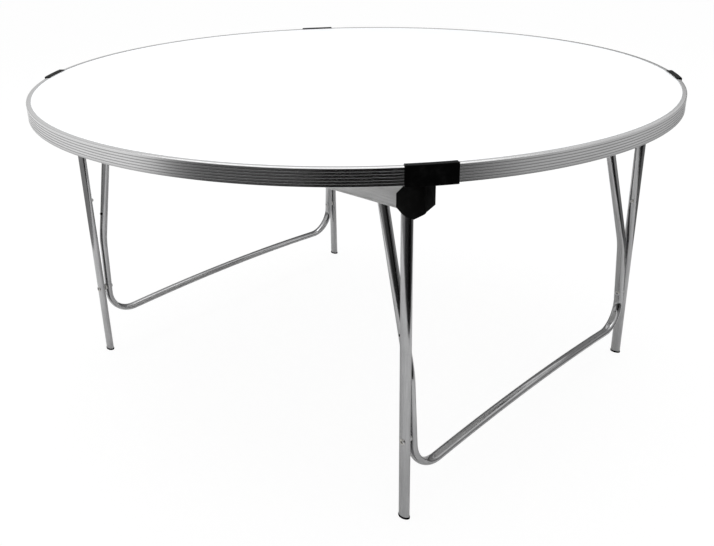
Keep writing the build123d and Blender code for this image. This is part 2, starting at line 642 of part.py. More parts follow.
# The buttons: short studs on the leg's inner face and the brace's outer face
leg_button = make_pin(
    LEG_X,
    LEG_BUTTON_HEIGHT,
    [(LEG_INNER_Y - LEG_BUTTON_PROJECTION, LEG_INNER_Y, LEG_BUTTON_RADIUS)],
)
climb = (BRACE_BUTTON_HEIGHT - BRACE_KNEE_HEIGHT) / (PIVOT_Z - BRACE_KNEE_HEIGHT)
arm_x = KNEE_X + climb * (BRACE_PIVOT_X - KNEE_X)
arm_face = BRACE_ARM_Y + climb * (BRACE_TOP_Y - BRACE_ARM_Y) + BRACE_TUBE_SHORT / 2
button_foot = arm_face + BRACE_BUTTON_RADIUS * ARM_SPLAY
brace_button = make_pin(
    arm_x,
    BRACE_BUTTON_HEIGHT,
    [(button_foot, arm_face + BRACE_BUTTON_PROJECTION, BRACE_BUTTON_RADIUS)],
)


def group_at(piece, corners):
    """Copies of one small piece at several corners, as separate solids."""
    with BuildPart() as group:
        for side, end in corners:
            add(at_corner(piece, side, end))
    return group.part


ALL_CORNERS = [(side, end) for side in SIDES for end in ENDS]
save(group_at(pivot_pin, ALL_CORNERS), "pivot_pins")
save(group_at(pivot_washer, ALL_CORNERS), "pivot_washers")
save(make_screws(mirrored_points(rail_screw_points()), UNDERSIDE - RAIL_THICKNESS), "rail_screws")
save(make_screws(mirrored_points(BRACKET_SCREWS), UNDERSIDE - BRACKET_THICKNESS), "bracket_screws")
save(make_screws(mirrored_points(SOCKET_SCREWS), UNDERSIDE - SOCKET_EAR_THICKNESS), "socket_screws")

for side_name in SIDES:
    pair = [(side_name, end) for end in ENDS]
    save(at_corner(brace.part, side_name, "back"), f"u_brace_{side_name}")
    save(group_at(pivot_bush, pair), f"pivot_bushes_{side_name}")
    save(group_at(leg_rivet, pair), f"leg_rivets_{side_name}")
    save(group_at(rivet_spacer, pair), f"rivet_spacers_{side_name}")
    save(group_at(brace_button, pair), f"brace_buttons_{side_name}")
    for end_name in ENDS:
        corner_name = f"{side_name}_{end_name}"
        save(at_corner(clip.part, side_name, end_name), f"rim_clip_{corner_name}")
        save(at_corner(socket.part, side_name, end_name), f"leg_socket_{corner_name}")
        save(at_corner(bracket.part, side_name, end_name), f"brace_bracket_{corner_name}")
        save(at_corner(leg.part, side_name, end_name), f"leg_tube_{corner_name}")
        save(at_corner(leg_shoe, side_name, end_name), f"leg_shoe_{corner_name}")
        save(at_corner(foot_cap, side_name, end_name), f"foot_cap_{corner_name}")
        save(at_corner(leg_button, side_name, end_name), f"leg_button_{corner_name}")
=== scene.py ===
# %% [markdown]
# A round folding table: a white laminated board in a fluted aluminium rim, on two leg frames of
# bright oval tube that fold flat under it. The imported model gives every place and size, and this
# lesson dresses it: finer meshes where a rounded edge or a smooth bend catches the light, and a
# material made of nodes for each finish. The model comes in first, so that nothing needs fitting.

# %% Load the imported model
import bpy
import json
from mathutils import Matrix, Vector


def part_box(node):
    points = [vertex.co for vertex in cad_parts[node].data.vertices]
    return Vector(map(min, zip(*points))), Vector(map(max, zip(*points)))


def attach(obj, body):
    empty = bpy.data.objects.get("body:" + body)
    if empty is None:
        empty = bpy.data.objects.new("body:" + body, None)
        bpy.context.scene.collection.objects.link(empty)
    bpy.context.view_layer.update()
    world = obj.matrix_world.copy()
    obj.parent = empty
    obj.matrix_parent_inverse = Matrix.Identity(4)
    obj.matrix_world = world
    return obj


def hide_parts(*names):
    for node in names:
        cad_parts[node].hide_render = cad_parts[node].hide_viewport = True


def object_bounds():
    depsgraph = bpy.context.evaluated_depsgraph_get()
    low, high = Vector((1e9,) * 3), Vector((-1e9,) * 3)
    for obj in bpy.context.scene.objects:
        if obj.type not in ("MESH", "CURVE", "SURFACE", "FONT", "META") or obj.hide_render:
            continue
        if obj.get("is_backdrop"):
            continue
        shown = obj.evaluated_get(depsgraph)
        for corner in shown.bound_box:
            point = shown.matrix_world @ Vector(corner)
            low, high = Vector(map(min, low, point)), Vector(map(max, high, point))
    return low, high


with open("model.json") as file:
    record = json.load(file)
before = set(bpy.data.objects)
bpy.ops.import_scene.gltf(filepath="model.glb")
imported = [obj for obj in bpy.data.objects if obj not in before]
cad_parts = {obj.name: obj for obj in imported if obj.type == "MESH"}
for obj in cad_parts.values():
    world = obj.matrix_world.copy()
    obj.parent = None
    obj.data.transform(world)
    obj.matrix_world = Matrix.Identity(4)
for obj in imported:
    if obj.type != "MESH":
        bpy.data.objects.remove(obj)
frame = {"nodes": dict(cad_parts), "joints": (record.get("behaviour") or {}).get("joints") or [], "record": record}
cad_low, cad_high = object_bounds()
print("packed nodes:", len(frame["nodes"]), "box:", tuple(cad_low), tuple(cad_high))

# %% Modules and units
import json
from math import cos, hypot, pi, radians, sin, tan

import bmesh
import bpy
from mathutils import Matrix, Vector

MM = 0.001
SIDES = {"right": 1, "left": -1}
ENDS = {"front": -1, "back": 1}
CORNERS = [(side, end) for side in SIDES for end in ENDS]
NODE_BODY = {
    node: body for body, nodes in frame["record"]["behaviour"]["bodies"].items() for node in nodes
}
NODE_SLOT = {part["node"]: part["material_slot"] for part in frame["record"]["subparts"]}


def added(name, data):
    """A new object in the scene."""
    thing = bpy.data.objects.new(name, data)
    bpy.context.collection.objects.link(thing)
    return thing


print("bodies:", sorted(set(NODE_BODY.values())))

# %% [markdown]
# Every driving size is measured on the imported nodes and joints. Typing the numbers again would
# work until somebody changed the table's diameter. Reading them keeps each finer piece exactly
# where the solid that it stands for is.

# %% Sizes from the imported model
RIM_RADIUS = min(cad_high.x, cad_high.y, -cad_low.x, -cad_low.y)
TABLE_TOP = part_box("rim_right")[1].z
RIM_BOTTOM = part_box("rim_right")[0].z
LAMINATE_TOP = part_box("top_laminate")[1].z
LAMINATE_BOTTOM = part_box("top_laminate")[0].z
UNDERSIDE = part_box("underside_sheet")[0].z
BOARD_RADIUS = max(hypot(v.co.x, v.co.y) for v in frame["nodes"]["top_laminate"].data.vertices)
joints = {joint["name"]: joint for joint in frame["joints"]}
PIVOT = Vector(joints["frame_fold_right"]["pos_m"])
RIVET = Vector(joints["leg_swing_right_back"]["pos_m"])
leg_low, leg_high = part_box("leg_tube_right_back")
brace_low, brace_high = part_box("u_brace_right")
LEG_HALF_LONG = (leg_high.x - leg_low.x) / 2
LEG_HALF_SHORT = (leg_high.y - leg_low.y) / 2
print("rim radius", round(RIM_RADIUS, 4), "leg at", round(RIVET.x, 4), round(RIVET.y, 4))

# %% [markdown]
# The camera stands where the photograph was taken from: well to the right of the front, a little
# above the table, and close enough for the far rim to look much shorter than the near one. It is
# given by angles round the middle of the top, which say more than a matrix does, and by the
# small turn between that direction and the way the lens points.

# %% Camera
CAMERA_AZIMUTH = 42.6493
CAMERA_ELEVATION = 11.2796
CAMERA_DISTANCE = 2.8383 * RIM_RADIUS
CAMERA_PAN = 0.1342
CAMERA_TILT = 12.9476
CAMERA_ROLL = -0.8786
CAMERA_LENS = 43.57


def compass(azimuth, elevation):
    """The direction from the table to a camera: azimuth 0 is the front and 90 the right."""
    turn, climb = radians(azimuth), radians(elevation)
    return Vector((sin(turn) * cos(climb), -cos(turn) * cos(climb), sin(climb)))


def make_camera():
    camera = added("camera", bpy.data.cameras.new("camera"))
    camera.data.lens = CAMERA_LENS
    place = Vector((0, 0, TABLE_TOP)) + CAMERA_DISTANCE * compass(CAMERA_AZIMUTH, CAMERA_ELEVATION)
    back = compass(CAMERA_AZIMUTH + CAMERA_PAN, CAMERA_ELEVATION + CAMERA_TILT)
    sideways = back.cross(Vector((0, 0, -1))).normalized()
    roll = radians(CAMERA_ROLL)
    right = sideways * cos(roll) + back.cross(sideways) * sin(roll)
    axes = Matrix((right, back.cross(right), back)).transposed()
    camera.matrix_world = Matrix.Translation(place) @ axes.to_4x4()
    bpy.context.scene.camera = camera
    return camera


camera = make_camera()
print("camera at", tuple(round(value, 3) for value in camera.matrix_world.translation))

# %% [markdown]
# A material is a net of nodes. Written out node by node it is long and hard to read, so one small
# class wraps a socket and turns Python's operators into Math nodes, and one class adds every
# other node from its type, its settings and what its sockets get.


# %% Shader helpers
class Value:
    """A number that varies over a surface: each operator adds one Math node."""

    def __init__(self, shader, output):
        self.shader = shader
        self.output = output

    def math(self, operation, first, second=0.0):
        settings = {"operation": operation}
        return self.shader.node("ShaderNodeMath", settings, {0: first, 1: second})

    def __add__(self, other):
        return self.math("ADD", self, other)

    def __sub__(self, other):
        return self.math("SUBTRACT", self, other)

    def __rsub__(self, other):
        return self.math("SUBTRACT", other, self)

    def __mul__(self, other):
        return self.math("MULTIPLY", self, other)

    __radd__ = __add__
    __rmul__ = __mul__


MATERIALS = {}


class Shader:
    """Nodes of one material or of the world."""

    def __init__(self, tree):
        self.tree = tree
        tree.nodes.clear()

    @classmethod
    def of(cls, slot):
        """The empty node tree of a new material, which is kept under its slot's name."""
        MATERIALS[slot] = bpy.data.materials.new(slot)
        MATERIALS[slot].use_nodes = True
        return cls(MATERIALS[slot].node_tree)

    def node(self, kind, settings=None, inputs=None, output=0):
        """Add a node: its settings first, then a value or a link for each socket."""
        made = self.tree.nodes.new(kind)
        for name, value in (settings or {}).items():
            setattr(made, name, value)
        for key, value in (inputs or {}).items():
            if isinstance(value, Value):
                self.tree.links.new(value.output, made.inputs[key])
            else:
                made.inputs[key].default_value = value
        return Value(self, made.outputs[output]) if made.outputs else None

    def mix(self, factor, first, second):
        """Blend two colours."""
        settings = {"data_type": "RGBA"}
        return self.node("ShaderNodeMix", settings, {0: factor, 6: first, 7: second}, 2)

    def ramp(self, factor, low, high, start=0.0, end=1.0):
        """Map a range of a value to another, and hold it at both ends."""
        inputs = {"Value": factor, "From Min": low, "From Max": high, "To Min": start, "To Max": end}
        return self.node("ShaderNodeMapRange", {"interpolation_type": "SMOOTHSTEP"}, inputs)

    def stretched(self, vector, factors):
        """Scale a vector along its three axes."""
        inputs = {0: vector, 1: factors}
        return self.node("ShaderNodeVectorMath", {"operation": "MULTIPLY"}, inputs)

    def noise(self, vector, scale, detail=2.0, roughness=0.5):
        """Cloudy noise between 0 and 1, mostly near a half."""
        inputs = {"Vector": vector, "Scale": scale, "Detail": detail, "Roughness": roughness}
        return self.node("ShaderNodeTexNoise", None, inputs)

    def place(self):
        """The point on the piece, in metres."""
        return self.node("ShaderNodeTexCoord", None, None, "Object")

    def grain(self):
        """Section x, section y and length along a drawn or bent piece, in metres."""
        return self.node("ShaderNodeAttribute", {"attribute_name": "grain"}, None, "Vector")

    def bump(self, height, distance, strength):
        """Surface relief of a few hundredths of a millimetre."""
        inputs = {"Height": height, "Distance": distance, "Strength": strength}
        return self.node("ShaderNodeBump", None, inputs)

    def finish(self, **sockets):
        """Close a material with one main shader."""
        inputs = {name.replace("_", " "): value for name, value in sockets.items()}
        surface = self.node("ShaderNodeBsdfPrincipled", None, inputs)
        self.node("ShaderNodeOutputMaterial", None, {"Surface": surface})
        print("material", list(MATERIALS)[-1], "with", len(self.tree.nodes), "nodes")


# %% [markdown]
# The top is a thin melamine laminate, a satin white sheet pressed on the board. It is almost one
# colour. What makes it real is a very faint unevenness in the gloss, where hands and cloths have
# polished it, and the press plate's fine pebble. Both are noise, one broad and one fine.

# %% White laminate
LAMINATE_WHITE = (0.93, 0.945, 0.96, 1)
LAMINATE_SHADE = (0.90, 0.915, 0.93, 1)


def make_laminate():
    shader = Shader.of("white_laminate")
    place = shader.place()
    clouds = shader.noise(place, 5.0, 3.0)
    pebble = shader.noise(place, 1400.0, 1.0)
    shader.finish(
        Base_Color=shader.mix(shader.ramp(clouds, 0.35, 0.65), LAMINATE_WHITE, LAMINATE_SHADE),
        Roughness=0.34 + 0.10 * clouds,
        Normal=shader.bump(pebble, 0.02 * MM, 0.5),
    )


make_laminate()

# %% [markdown]
# Under the top is a plywood core, which shows only where somebody takes the rim off. Its plies
# are thin level layers of turned wood, so the colour follows the height, and each ply's grain
# is noise that is drawn out along one direction.

# %% Board core
PLY_THICKNESS = 1.9 * MM
PLY_LIGHT = (0.70, 0.52, 0.33, 1)
PLY_DARK = (0.55, 0.38, 0.22, 1)
PLY_EDGE = (0.42, 0.28, 0.16, 1)


def make_core():
    shader = Shader.of("board_core")
    place = shader.place()
    layers = shader.stretched(place, (4.0, 4.0, 1 / PLY_THICKNESS))
    ply = shader.node("ShaderNodeTexWave", {"bands_direction": "Z"}, {"Vector": layers, "Scale": 0.16})
    fibres = shader.noise(shader.stretched(place, (30.0, 260.0, 900.0)), 1.0, 4.0, 0.6)
    light = shader.mix(fibres, PLY_LIGHT, PLY_DARK)
    shader.finish(
        Base_Color=shader.mix(0.5 * ply, light, PLY_EDGE),
        Roughness=0.6 + 0.2 * fibres,
        Normal=shader.bump(fibres, 0.1 * MM, 0.6),
    )


make_core()

# %% [markdown]
# A balancing sheet on the underside keeps the board flat. It is the backing grade of the same
# laminate: paler grey than white, more matt, and faintly speckled, because nobody polishes it.

# %% Balancing sheet
SHEET_PALE = (0.80, 0.80, 0.79, 1)
SHEET_SPECK = (0.74, 0.74, 0.73, 1)
SHEET_CLOUD = (0.68, 0.68, 0.67, 1)


def make_balancing_sheet():
    shader = Shader.of("balancing_sheet")
    place = shader.place()
    speckle = shader.noise(place, 420.0, 3.0, 0.7)
    cloud = shader.noise(place, 7.0, 2.0)
    base = shader.mix(shader.ramp(speckle, 0.4, 0.6), SHEET_PALE, SHEET_SPECK)
    shader.finish(
        Base_Color=shader.mix(0.35 * cloud, base, SHEET_CLOUD),
        Roughness=0.55 + 0.15 * speckle,
        Normal=shader.bump(speckle, 0.05 * MM, 0.6),
    )


make_balancing_sheet()

# %% [markdown]
# Drawn, extruded and rolled metal carries fine lines along its length. Object coordinates can't
# follow a bent tube, so each mesh stores a grain attribute: two numbers across the section and
# one along the length. Noise that is squeezed along the third number becomes streaks that stay
# with the metal round every bend.

# %% Metals with a grain
# Painted shade in the rim's grooves: where it starts below the outer face, and how far it fades in.
GROOVE_SHADE_START = 0.2 * MM
GROOVE_SHADE_FADE = 0.4 * MM


def make_metal(slot, light, dark, gloss, streak, speck, relief, groove=None):
    """Metal with streaks along its grain. gloss is its (lowest, highest) roughness.

    groove is (the first grain number below which the colour is darkened as painted shade in the groove, how dark
    that painted shade is)."""
    shader = Shader.of(slot)
    grain = shader.grain()
    lines = shader.noise(shader.stretched(grain, (streak, streak, streak / 60)), 1.0, 3.0, 0.65)
    wear = shader.noise(shader.stretched(grain, (40.0, 40.0, 9.0)), 1.0, 2.0)
    dust = shader.noise(grain, speck, 2.0, 0.7)
    shade = shader.ramp(0.5 * lines + 0.3 * wear + 0.2 * dust, 0.35, 0.65)
    low, high = gloss
    color = shader.mix(shade, light, dark)
    # Painted shade: inside the grooves the base colour is mixed towards black.
    if groove:
        edge, darkness = groove
        out = shader.node("ShaderNodeSeparateXYZ", None, {0: grain}, "X")
        groove_shade = shader.ramp(out, edge, edge - GROOVE_SHADE_FADE, 0.0, darkness)
        color = shader.mix(groove_shade, color, (0, 0, 0, 1))
    shader.finish(
        Base_Color=color,
        Metallic=1.0,
        Roughness=shader.ramp(0.6 * lines + 0.4 * wear, 0.3, 0.7, low, high),
        Normal=shader.bump(0.7 * lines + 0.3 * dust, relief, 0.6),
    )


make_metal(
    "fluted_aluminium",
    light=(0.89, 0.89, 0.895, 1),
    dark=(0.84, 0.84, 0.845, 1),
    gloss=(0.15, 0.22),
    streak=2600.0,
    speck=900.0,
    relief=0.003 * MM,
    # The grooves get painted shade, 0.45 of the way to black.
    groove=(RIM_RADIUS - GROOVE_SHADE_START, 0.45),
)
make_metal(
    "bright_tube",
    light=(0.49, 0.49, 0.495, 1),
    dark=(0.34, 0.34, 0.345, 1),
    gloss=(0.07, 0.15),
    streak=1100.0,
    speck=700.0,
    relief=0.006 * MM,
)
make_metal(
    "rail_aluminium",
    light=(0.80, 0.80, 0.80, 1),
    dark=(0.62, 0.62, 0.62, 1),
    gloss=(0.42, 0.6),
    streak=1500.0,
    speck=1100.0,
    relief=0.03 * MM,
)

# %% [markdown]
# Zinc plating is a bright grey with a faint yellow and blue cast, and its crystals leave the
# shine uneven. The pins, rivets, screws, brackets and leg studs have no common direction, so
# their noise is plain, with a coarse cell pattern for the crystals.

# %% Zinc plated steel
ZINC_BLUE = (0.60, 0.61, 0.64, 1)
ZINC_YELLOW = (0.63, 0.61, 0.55, 1)
ZINC_GREY = (0.50, 0.50, 0.51, 1)


def make_zinc():
    shader = Shader.of("zinc_steel")
    place = shader.place()
    crystals = shader.node("ShaderNodeTexVoronoi", None, {"Vector": place, "Scale": 900.0})
    cloud = shader.noise(place, 160.0, 3.0, 0.6)
    cast = shader.mix(shader.ramp(cloud, 0.35, 0.65), ZINC_BLUE, ZINC_YELLOW)
    shader.finish(
        Base_Color=shader.mix(0.3 * crystals, cast, ZINC_GREY),
        Metallic=1.0,
        Roughness=0.24 + 0.18 * cloud,
        Normal=shader.bump(crystals, 0.02 * MM, 0.4),
    )


make_zinc()

# %% [markdown]
# The clips, sockets, shoes and bushes are black nylon with a finely eroded surface: nearly black,
# but never quite even, and paler where it rubs. The feet and the studs on the braces are rubber,
# which is duller. They are one recipe with different numbers.

# %% Black mouldings and rubber
BLACK_SHINE = 0.03
BLACK = (0.0012, 0.0012, 0.0012, 1)
RUBBED_BLACK = (0.005, 0.005, 0.005, 1)


def make_black(slot, gloss, pebble_scale, relief):
    """A black moulding with a fine pebble and a faint rubbed bloom."""
    shader = Shader.of(slot)
    place = shader.place()
    pebble = shader.noise(place, pebble_scale, 2.0, 0.6)
    rubbed = shader.noise(place, 60.0, 4.0, 0.65)
    low, high = gloss
    shader.finish(
        Base_Color=shader.mix(shader.ramp(rubbed, 0.45, 0.8), BLACK, RUBBED_BLACK),
        Roughness=shader.ramp(0.6 * pebble + 0.4 * rubbed, 0.3, 0.7, low, high),
        Normal=shader.bump(pebble, relief, 0.7),
        Specular_IOR_Level=BLACK_SHINE,
    )


make_black("black_moulding", (0.42, 0.58), 1600.0, 0.03 * MM)
make_black("black_rubber", (0.60, 0.80), 900.0, 0.05 * MM)

# %% [markdown]
# Nearly every piece here is a row of rings: a tube is ovals along a path, the rim is its section
# at a row of angles, a rivet is circles at a row of heights. One skinning function joins the
# rings with quads. Primitive cylinders and cubes would be quicker, but they have no rounded
# edges, no bends and no grain.


# %% Skin a row of rings
SHARP_ANGLE = radians(34)
MOST_OF_EDGE = 0.45


def polish(mesh):
    """Smooth shading, with creases only at real edges."""
    mesh.shade_smooth()
    mesh.set_sharp_from_angle(angle=SHARP_ANGLE)
    return mesh


def skin(name, rings, grains, joined=False):
    """Join rings of points into a closed mesh. joined links the last ring to the first."""
    count = len(rings[0])
    steps = len(rings) if joined else len(rings) - 1
    faces = []
    for row in range(steps):
        near, far = row * count, (row + 1) % len(rings) * count
        for spot in range(count):
            after = (spot + 1) % count
            faces.append((near + spot, near + after, far + after, far + spot))
    if not joined:
        faces.append(tuple(reversed(range(count))))
        faces.append(tuple(range((len(rings) - 1) * count, len(rings) * count)))
    mesh = bpy.data.meshes.new(name)
    mesh.from_pydata([tuple(point) for ring in rings for point in ring], [], faces)
    attribute = mesh.attributes.new("grain", "FLOAT_VECTOR", "POINT")
    attribute.data.foreach_set("vector", [value for ring in grains for grain in ring for value in grain])
    tidy_normals(mesh)
    return polish(mesh)


def tidy_normals(mesh):
    """Turn every face outwards."""
    work = bmesh.new()
    work.from_mesh(mesh)
    bmesh.ops.recalc_face_normals(work, faces=work.faces)
    work.to_mesh(mesh)
    work.free()


def oval(half_long, half_short, count):
    """Points round an ellipse."""
    turns = [2 * pi * step / count for step in range(count)]
    return [(half_long * cos(turn), half_short * sin(turn)) for turn in turns]


def round_corners(outline, radius, steps=4):
    """Replace each corner of a closed outline by an arc, as large as its edges allow.

    radius is one number, or one for each corner, and a corner with no radius stays sharp."""
    rounded = []
    radii = radius if isinstance(radius, list) else [radius] * len(outline)
    for index, (corner, bend) in enumerate(zip(outline, radii)):
        corner = Vector(corner)
        if not bend:
            rounded.append(corner)
            continue
        before = Vector(outline[index - 1]) - corner
        after = Vector(outline[(index + 1) % len(outline)]) - corner
        half_turn = (pi - before.angle(after)) / 2
        reach = min(bend * tan(half_turn), MOST_OF_EDGE * before.length, MOST_OF_EDGE * after.length)
        start = corner + before.normalized() * reach
        stop = corner + after.normalized() * reach
        for step in range(steps + 1):
            share = step / steps
            first = start.lerp(corner, share)
            rounded.append(first.lerp(corner.lerp(stop, share), share))
    return rounded


print("helpers ready")

# %% [markdown]
# Pieces that repeat are modelled once, at the right back corner, and mirrored to the others.
# Mirroring turns a mesh inside out, so its faces are flipped back. Each finished piece rides on
# the body of the node that it stands for, and takes that node's slot and material.


# %% Place finished pieces
def at_corner(mesh, side, end):
    """A copy of a right back mesh, mirrored to another corner."""
    copy = mesh.copy()
    across, along = SIDES[side], ENDS[end]
    copy.transform(Matrix.Diagonal((across, along, 1, 1)))
    if across * along < 0:
        copy.flip_normals()
    return copy


def joined_meshes(name, meshes):
    """Several meshes as one, each still a closed shell of its own."""
    work = bmesh.new()
    for mesh in meshes:
        work.from_mesh(mesh)
    mesh = bpy.data.meshes.new(name)
    work.to_mesh(mesh)
    work.free()
    return polish(mesh)


def dress(node, mesh):
    """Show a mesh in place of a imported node, on the same body and with the same slot."""
    piece = added(f"{node}_skin", mesh)
    mesh.materials.clear()
    mesh.materials.append(MATERIALS[NODE_SLOT[node]])
    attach(piece, NODE_BODY[node])
    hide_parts(node)
    return piece


def dress_corners(stem, mesh):
    """The four nodes that hold the same piece, one at each corner."""
    for side, end in CORNERS:
        dress(f"{stem}_{side}_{end}", at_corner(mesh, side, end))


# %% [markdown]
# The laminate is a disc whose edge is tucked under the rim's lip. A circle with few sides would
# show corners at the lip's inner edge, so it is turned in steps of less than a degree.

# %% White top
ROUND_STEPS = 480
LAMINATE_EASE = 0.2 * MM
MIDDLE_RADIUS = 0.05
HALFWAY = 0.4


def level_ring(radius, height, count):
    """Points of a level circle round the middle of the table."""
    return [(x, y, height) for x, y in oval(radius, radius, count)]


def make_top():
    ease = LAMINATE_EASE
    levels = [(MIDDLE_RADIUS, LAMINATE_TOP), (HALFWAY, LAMINATE_TOP)]
    levels += [(BOARD_RADIUS - ease, LAMINATE_TOP), (BOARD_RADIUS, LAMINATE_TOP - ease)]
    levels += [(BOARD_RADIUS, LAMINATE_BOTTOM), (MIDDLE_RADIUS, LAMINATE_BOTTOM)]
    rings = [level_ring(radius, height, ROUND_STEPS) for radius, height in levels]
    return skin("top_laminate", rings, rings)


top = dress("top_laminate", make_top())
print("top has", len(top.data.polygons), "faces")

# %% [markdown]
# The rim is one aluminium extrusion, rolled to a circle. Its outside has five flutes, its lip
# covers the laminate's edge and a shelf carries the board. The section is drawn once as a flat
# outline with softened corners, and turned round the table in four lengths that meet under the
# clips. Real grooves give the light and dark lines that bump alone would not keep at the edge,
# and painted shade in the rim's material darkens the grooves further.

# %% Fluted rim
RIM_WALL = 2.5 * MM
RIM_LIP_WIDTH = 10.0 * MM
RIM_LIP_THICKNESS = 1.2 * MM
RIM_SHELF_WIDTH = 12.0 * MM
RIM_SHELF_THICKNESS = 1.5 * MM
RIM_RETURN_WIDTH = 4.0 * MM
RIM_RETURN_THICKNESS = 1.5 * MM
BOARD_SEAT = 0.05 * MM
FLUTE_COUNT = 5
FLUTE_PITCH = 5.2 * MM
FLUTE_WIDTH = 2.0 * MM
FLUTE_DEPTH = 0.8 * MM
FLUTE_SLOPE = 0.12 * MM
RIM_CORNER = 0.45 * MM
RIM_TOP_RADIUS = 2.5 * MM
RIM_TOP_STEPS = 6
CLIP_ANGLE = 38.0
RIM_STEP = 0.9
JOINT_GAP = 0.5 * MM


def flute_points():
    """The rim's outer face from top to bottom, one groove after another."""
    middle = (TABLE_TOP + RIM_BOTTOM) / 2
    points = []
    for index in range(FLUTE_COUNT):
        height = middle + (FLUTE_COUNT / 2 - 0.5 - index) * FLUTE_PITCH
        points += [
            (RIM_RADIUS, height + FLUTE_WIDTH / 2),
            (RIM_RADIUS - FLUTE_DEPTH, height + FLUTE_WIDTH / 2 - FLUTE_SLOPE),
            (RIM_RADIUS - FLUTE_DEPTH, height - FLUTE_WIDTH / 2 + FLUTE_SLOPE),
            (RIM_RADIUS, height - FLUTE_WIDTH / 2),
        ]
    return points


def rim_section():
    """The extrusion's outline as (distance out, height), with softened corners."""
    inner = RIM_RADIUS - RIM_WALL
    lip_bottom = TABLE_TOP - RIM_LIP_THICKNESS
    shelf_top = UNDERSIDE - BOARD_SEAT
    shelf_bottom = shelf_top - RIM_SHELF_THICKNESS
    return_top = RIM_BOTTOM + RIM_RETURN_THICKNESS
    outline = [(RIM_RADIUS - RIM_LIP_WIDTH, TABLE_TOP)]
    for step in range(RIM_TOP_STEPS + 1):
        turn = pi / 2 * step / RIM_TOP_STEPS
        out, up = RIM_TOP_RADIUS * (1 - sin(turn)), RIM_TOP_RADIUS * (1 - cos(turn))
        outline.append((RIM_RADIUS - out, TABLE_TOP - up))
    outline += flute_points()
    outline += [
        (RIM_RADIUS, RIM_BOTTOM),
        (RIM_RADIUS - RIM_RETURN_WIDTH, RIM_BOTTOM),
        (RIM_RADIUS - RIM_RETURN_WIDTH, return_top),
        (inner, return_top),
        (inner, shelf_bottom),
        (RIM_RADIUS - RIM_SHELF_WIDTH, shelf_bottom),
        (RIM_RADIUS - RIM_SHELF_WIDTH, shelf_top),
        (inner, shelf_top),
        (inner, lip_bottom),
        (RIM_RADIUS - RIM_LIP_WIDTH, lip_bottom),
    ]
    fluted = set(flute_points())
    radii = [0 if point in fluted else RIM_CORNER for point in outline]
    return round_corners(outline, radii, 3)


def turn_section(name, section, start, stop, step):
    """Turn an outline round the table between two angles in degrees."""
    count = max(2, round((stop - start) / step))
    rings, grains = [], []
    for index in range(count + 1):
        angle = radians(start + (stop - start) * index / count)
        rings.append([(out * cos(angle), out * sin(angle), up) for out, up in section])
        grains.append([(out, up, angle * RIM_RADIUS) for out, up in section])
    return skin(name, rings, grains)


half_gap = JOINT_GAP / 2 / RIM_RADIUS * 180 / pi
RIM_LENGTHS = {
    "rim_right": (-CLIP_ANGLE, CLIP_ANGLE),
    "rim_back": (CLIP_ANGLE, 180 - CLIP_ANGLE),
    "rim_left": (180 - CLIP_ANGLE, 180 + CLIP_ANGLE),
    "rim_front": (180 + CLIP_ANGLE, 360 - CLIP_ANGLE),
}
for rim_name, (rim_start, rim_stop) in RIM_LENGTHS.items():
    rim_mesh = turn_section(rim_name, rim_section(), rim_start + half_gap, rim_stop - half_gap, RIM_STEP)
    dress(rim_name, rim_mesh)
    print(rim_name, "has", len(rim_mesh.polygons), "faces")

# %% [markdown]
# A clip is a black nylon cover, pressed over each joint of the rim. It is the rim's outer shape
# again, a few millimetres larger, so it is turned the same way. Its ends are cut square and
# eased, and a bevel that works only at sharp edges makes that ease.

# %% Rim clips
CLIP_WALL = 3.2 * MM
CLIP_TOP_THICKNESS = 2.0 * MM
CLIP_BOTTOM_THICKNESS = 2.2 * MM
CLIP_COVER_WIDTH = 10.5 * MM
CLIP_RETURN_WIDTH = 3.0 * MM
CLIP_LENGTH = 93.0 * MM
CLIP_GAP = 0.1 * MM
CLIP_EDGE = 1.2 * MM
CLIP_EASE = 0.7 * MM


def bevelled(mesh, width, segments=3, angle=40):
    """Ease a mesh's sharp edges, and return the finished mesh."""
    holder = added("holder", mesh)
    bevel = holder.modifiers.new("ease", "BEVEL")
    bevel.width = width
    bevel.segments = segments
    bevel.angle_limit = radians(angle)
    bevel.use_clamp_overlap = True
    return finished(holder)


def finished(holder):
    """The mesh that an object has after its modifiers. The object is deleted."""
    view = bpy.context.evaluated_depsgraph_get()
    view.update()
    mesh = bpy.data.meshes.new_from_object(holder.evaluated_get(view))
    bpy.data.objects.remove(holder)
    return polish(mesh)


def make_clip():
    outer = RIM_RADIUS + CLIP_WALL
    inner = RIM_RADIUS + CLIP_GAP
    top_inner = TABLE_TOP + CLIP_GAP
    bottom_inner = RIM_BOTTOM - CLIP_GAP
    outline = [
        (RIM_RADIUS - CLIP_COVER_WIDTH, top_inner + CLIP_TOP_THICKNESS),
        (outer, top_inner + CLIP_TOP_THICKNESS),
        (outer, bottom_inner - CLIP_BOTTOM_THICKNESS),
        (RIM_RADIUS - CLIP_RETURN_WIDTH, bottom_inner - CLIP_BOTTOM_THICKNESS),
        (RIM_RADIUS - CLIP_RETURN_WIDTH, bottom_inner),
        (inner, bottom_inner),
        (inner, top_inner),
        (RIM_RADIUS - CLIP_COVER_WIDTH, top_inner),
    ]
    half_turn = CLIP_LENGTH / RIM_RADIUS / 2 * 180 / pi
    section = round_corners(outline, CLIP_EDGE, 4)
    block = turn_section("clip", section, CLIP_ANGLE - half_turn, CLIP_ANGLE + half_turn, 0.5)
    return bevelled(block, CLIP_EASE)


clip_mesh = make_clip()
dress_corners("rim_clip", clip_mesh)
print("clip has", len(clip_mesh.polygons), "faces")

# %% [markdown]
# The oval tubes are the part of the table that the eye follows. A curve with a bevel would give
# a round tube of one skin. Here an oval is carried along a path, outside and then back inside,
# so the tube has a wall, and each ring is turned only as much as the path turns, which is how
# tube behaves in a bender.

# %% Oval tubes
TUBE_WALL = 1.5 * MM
TUBE_SIDES = 64
BEND_STEP = radians(2.5)
MOST_RING_GAP = 0.12
MOST_ARC_GAP = 0.05


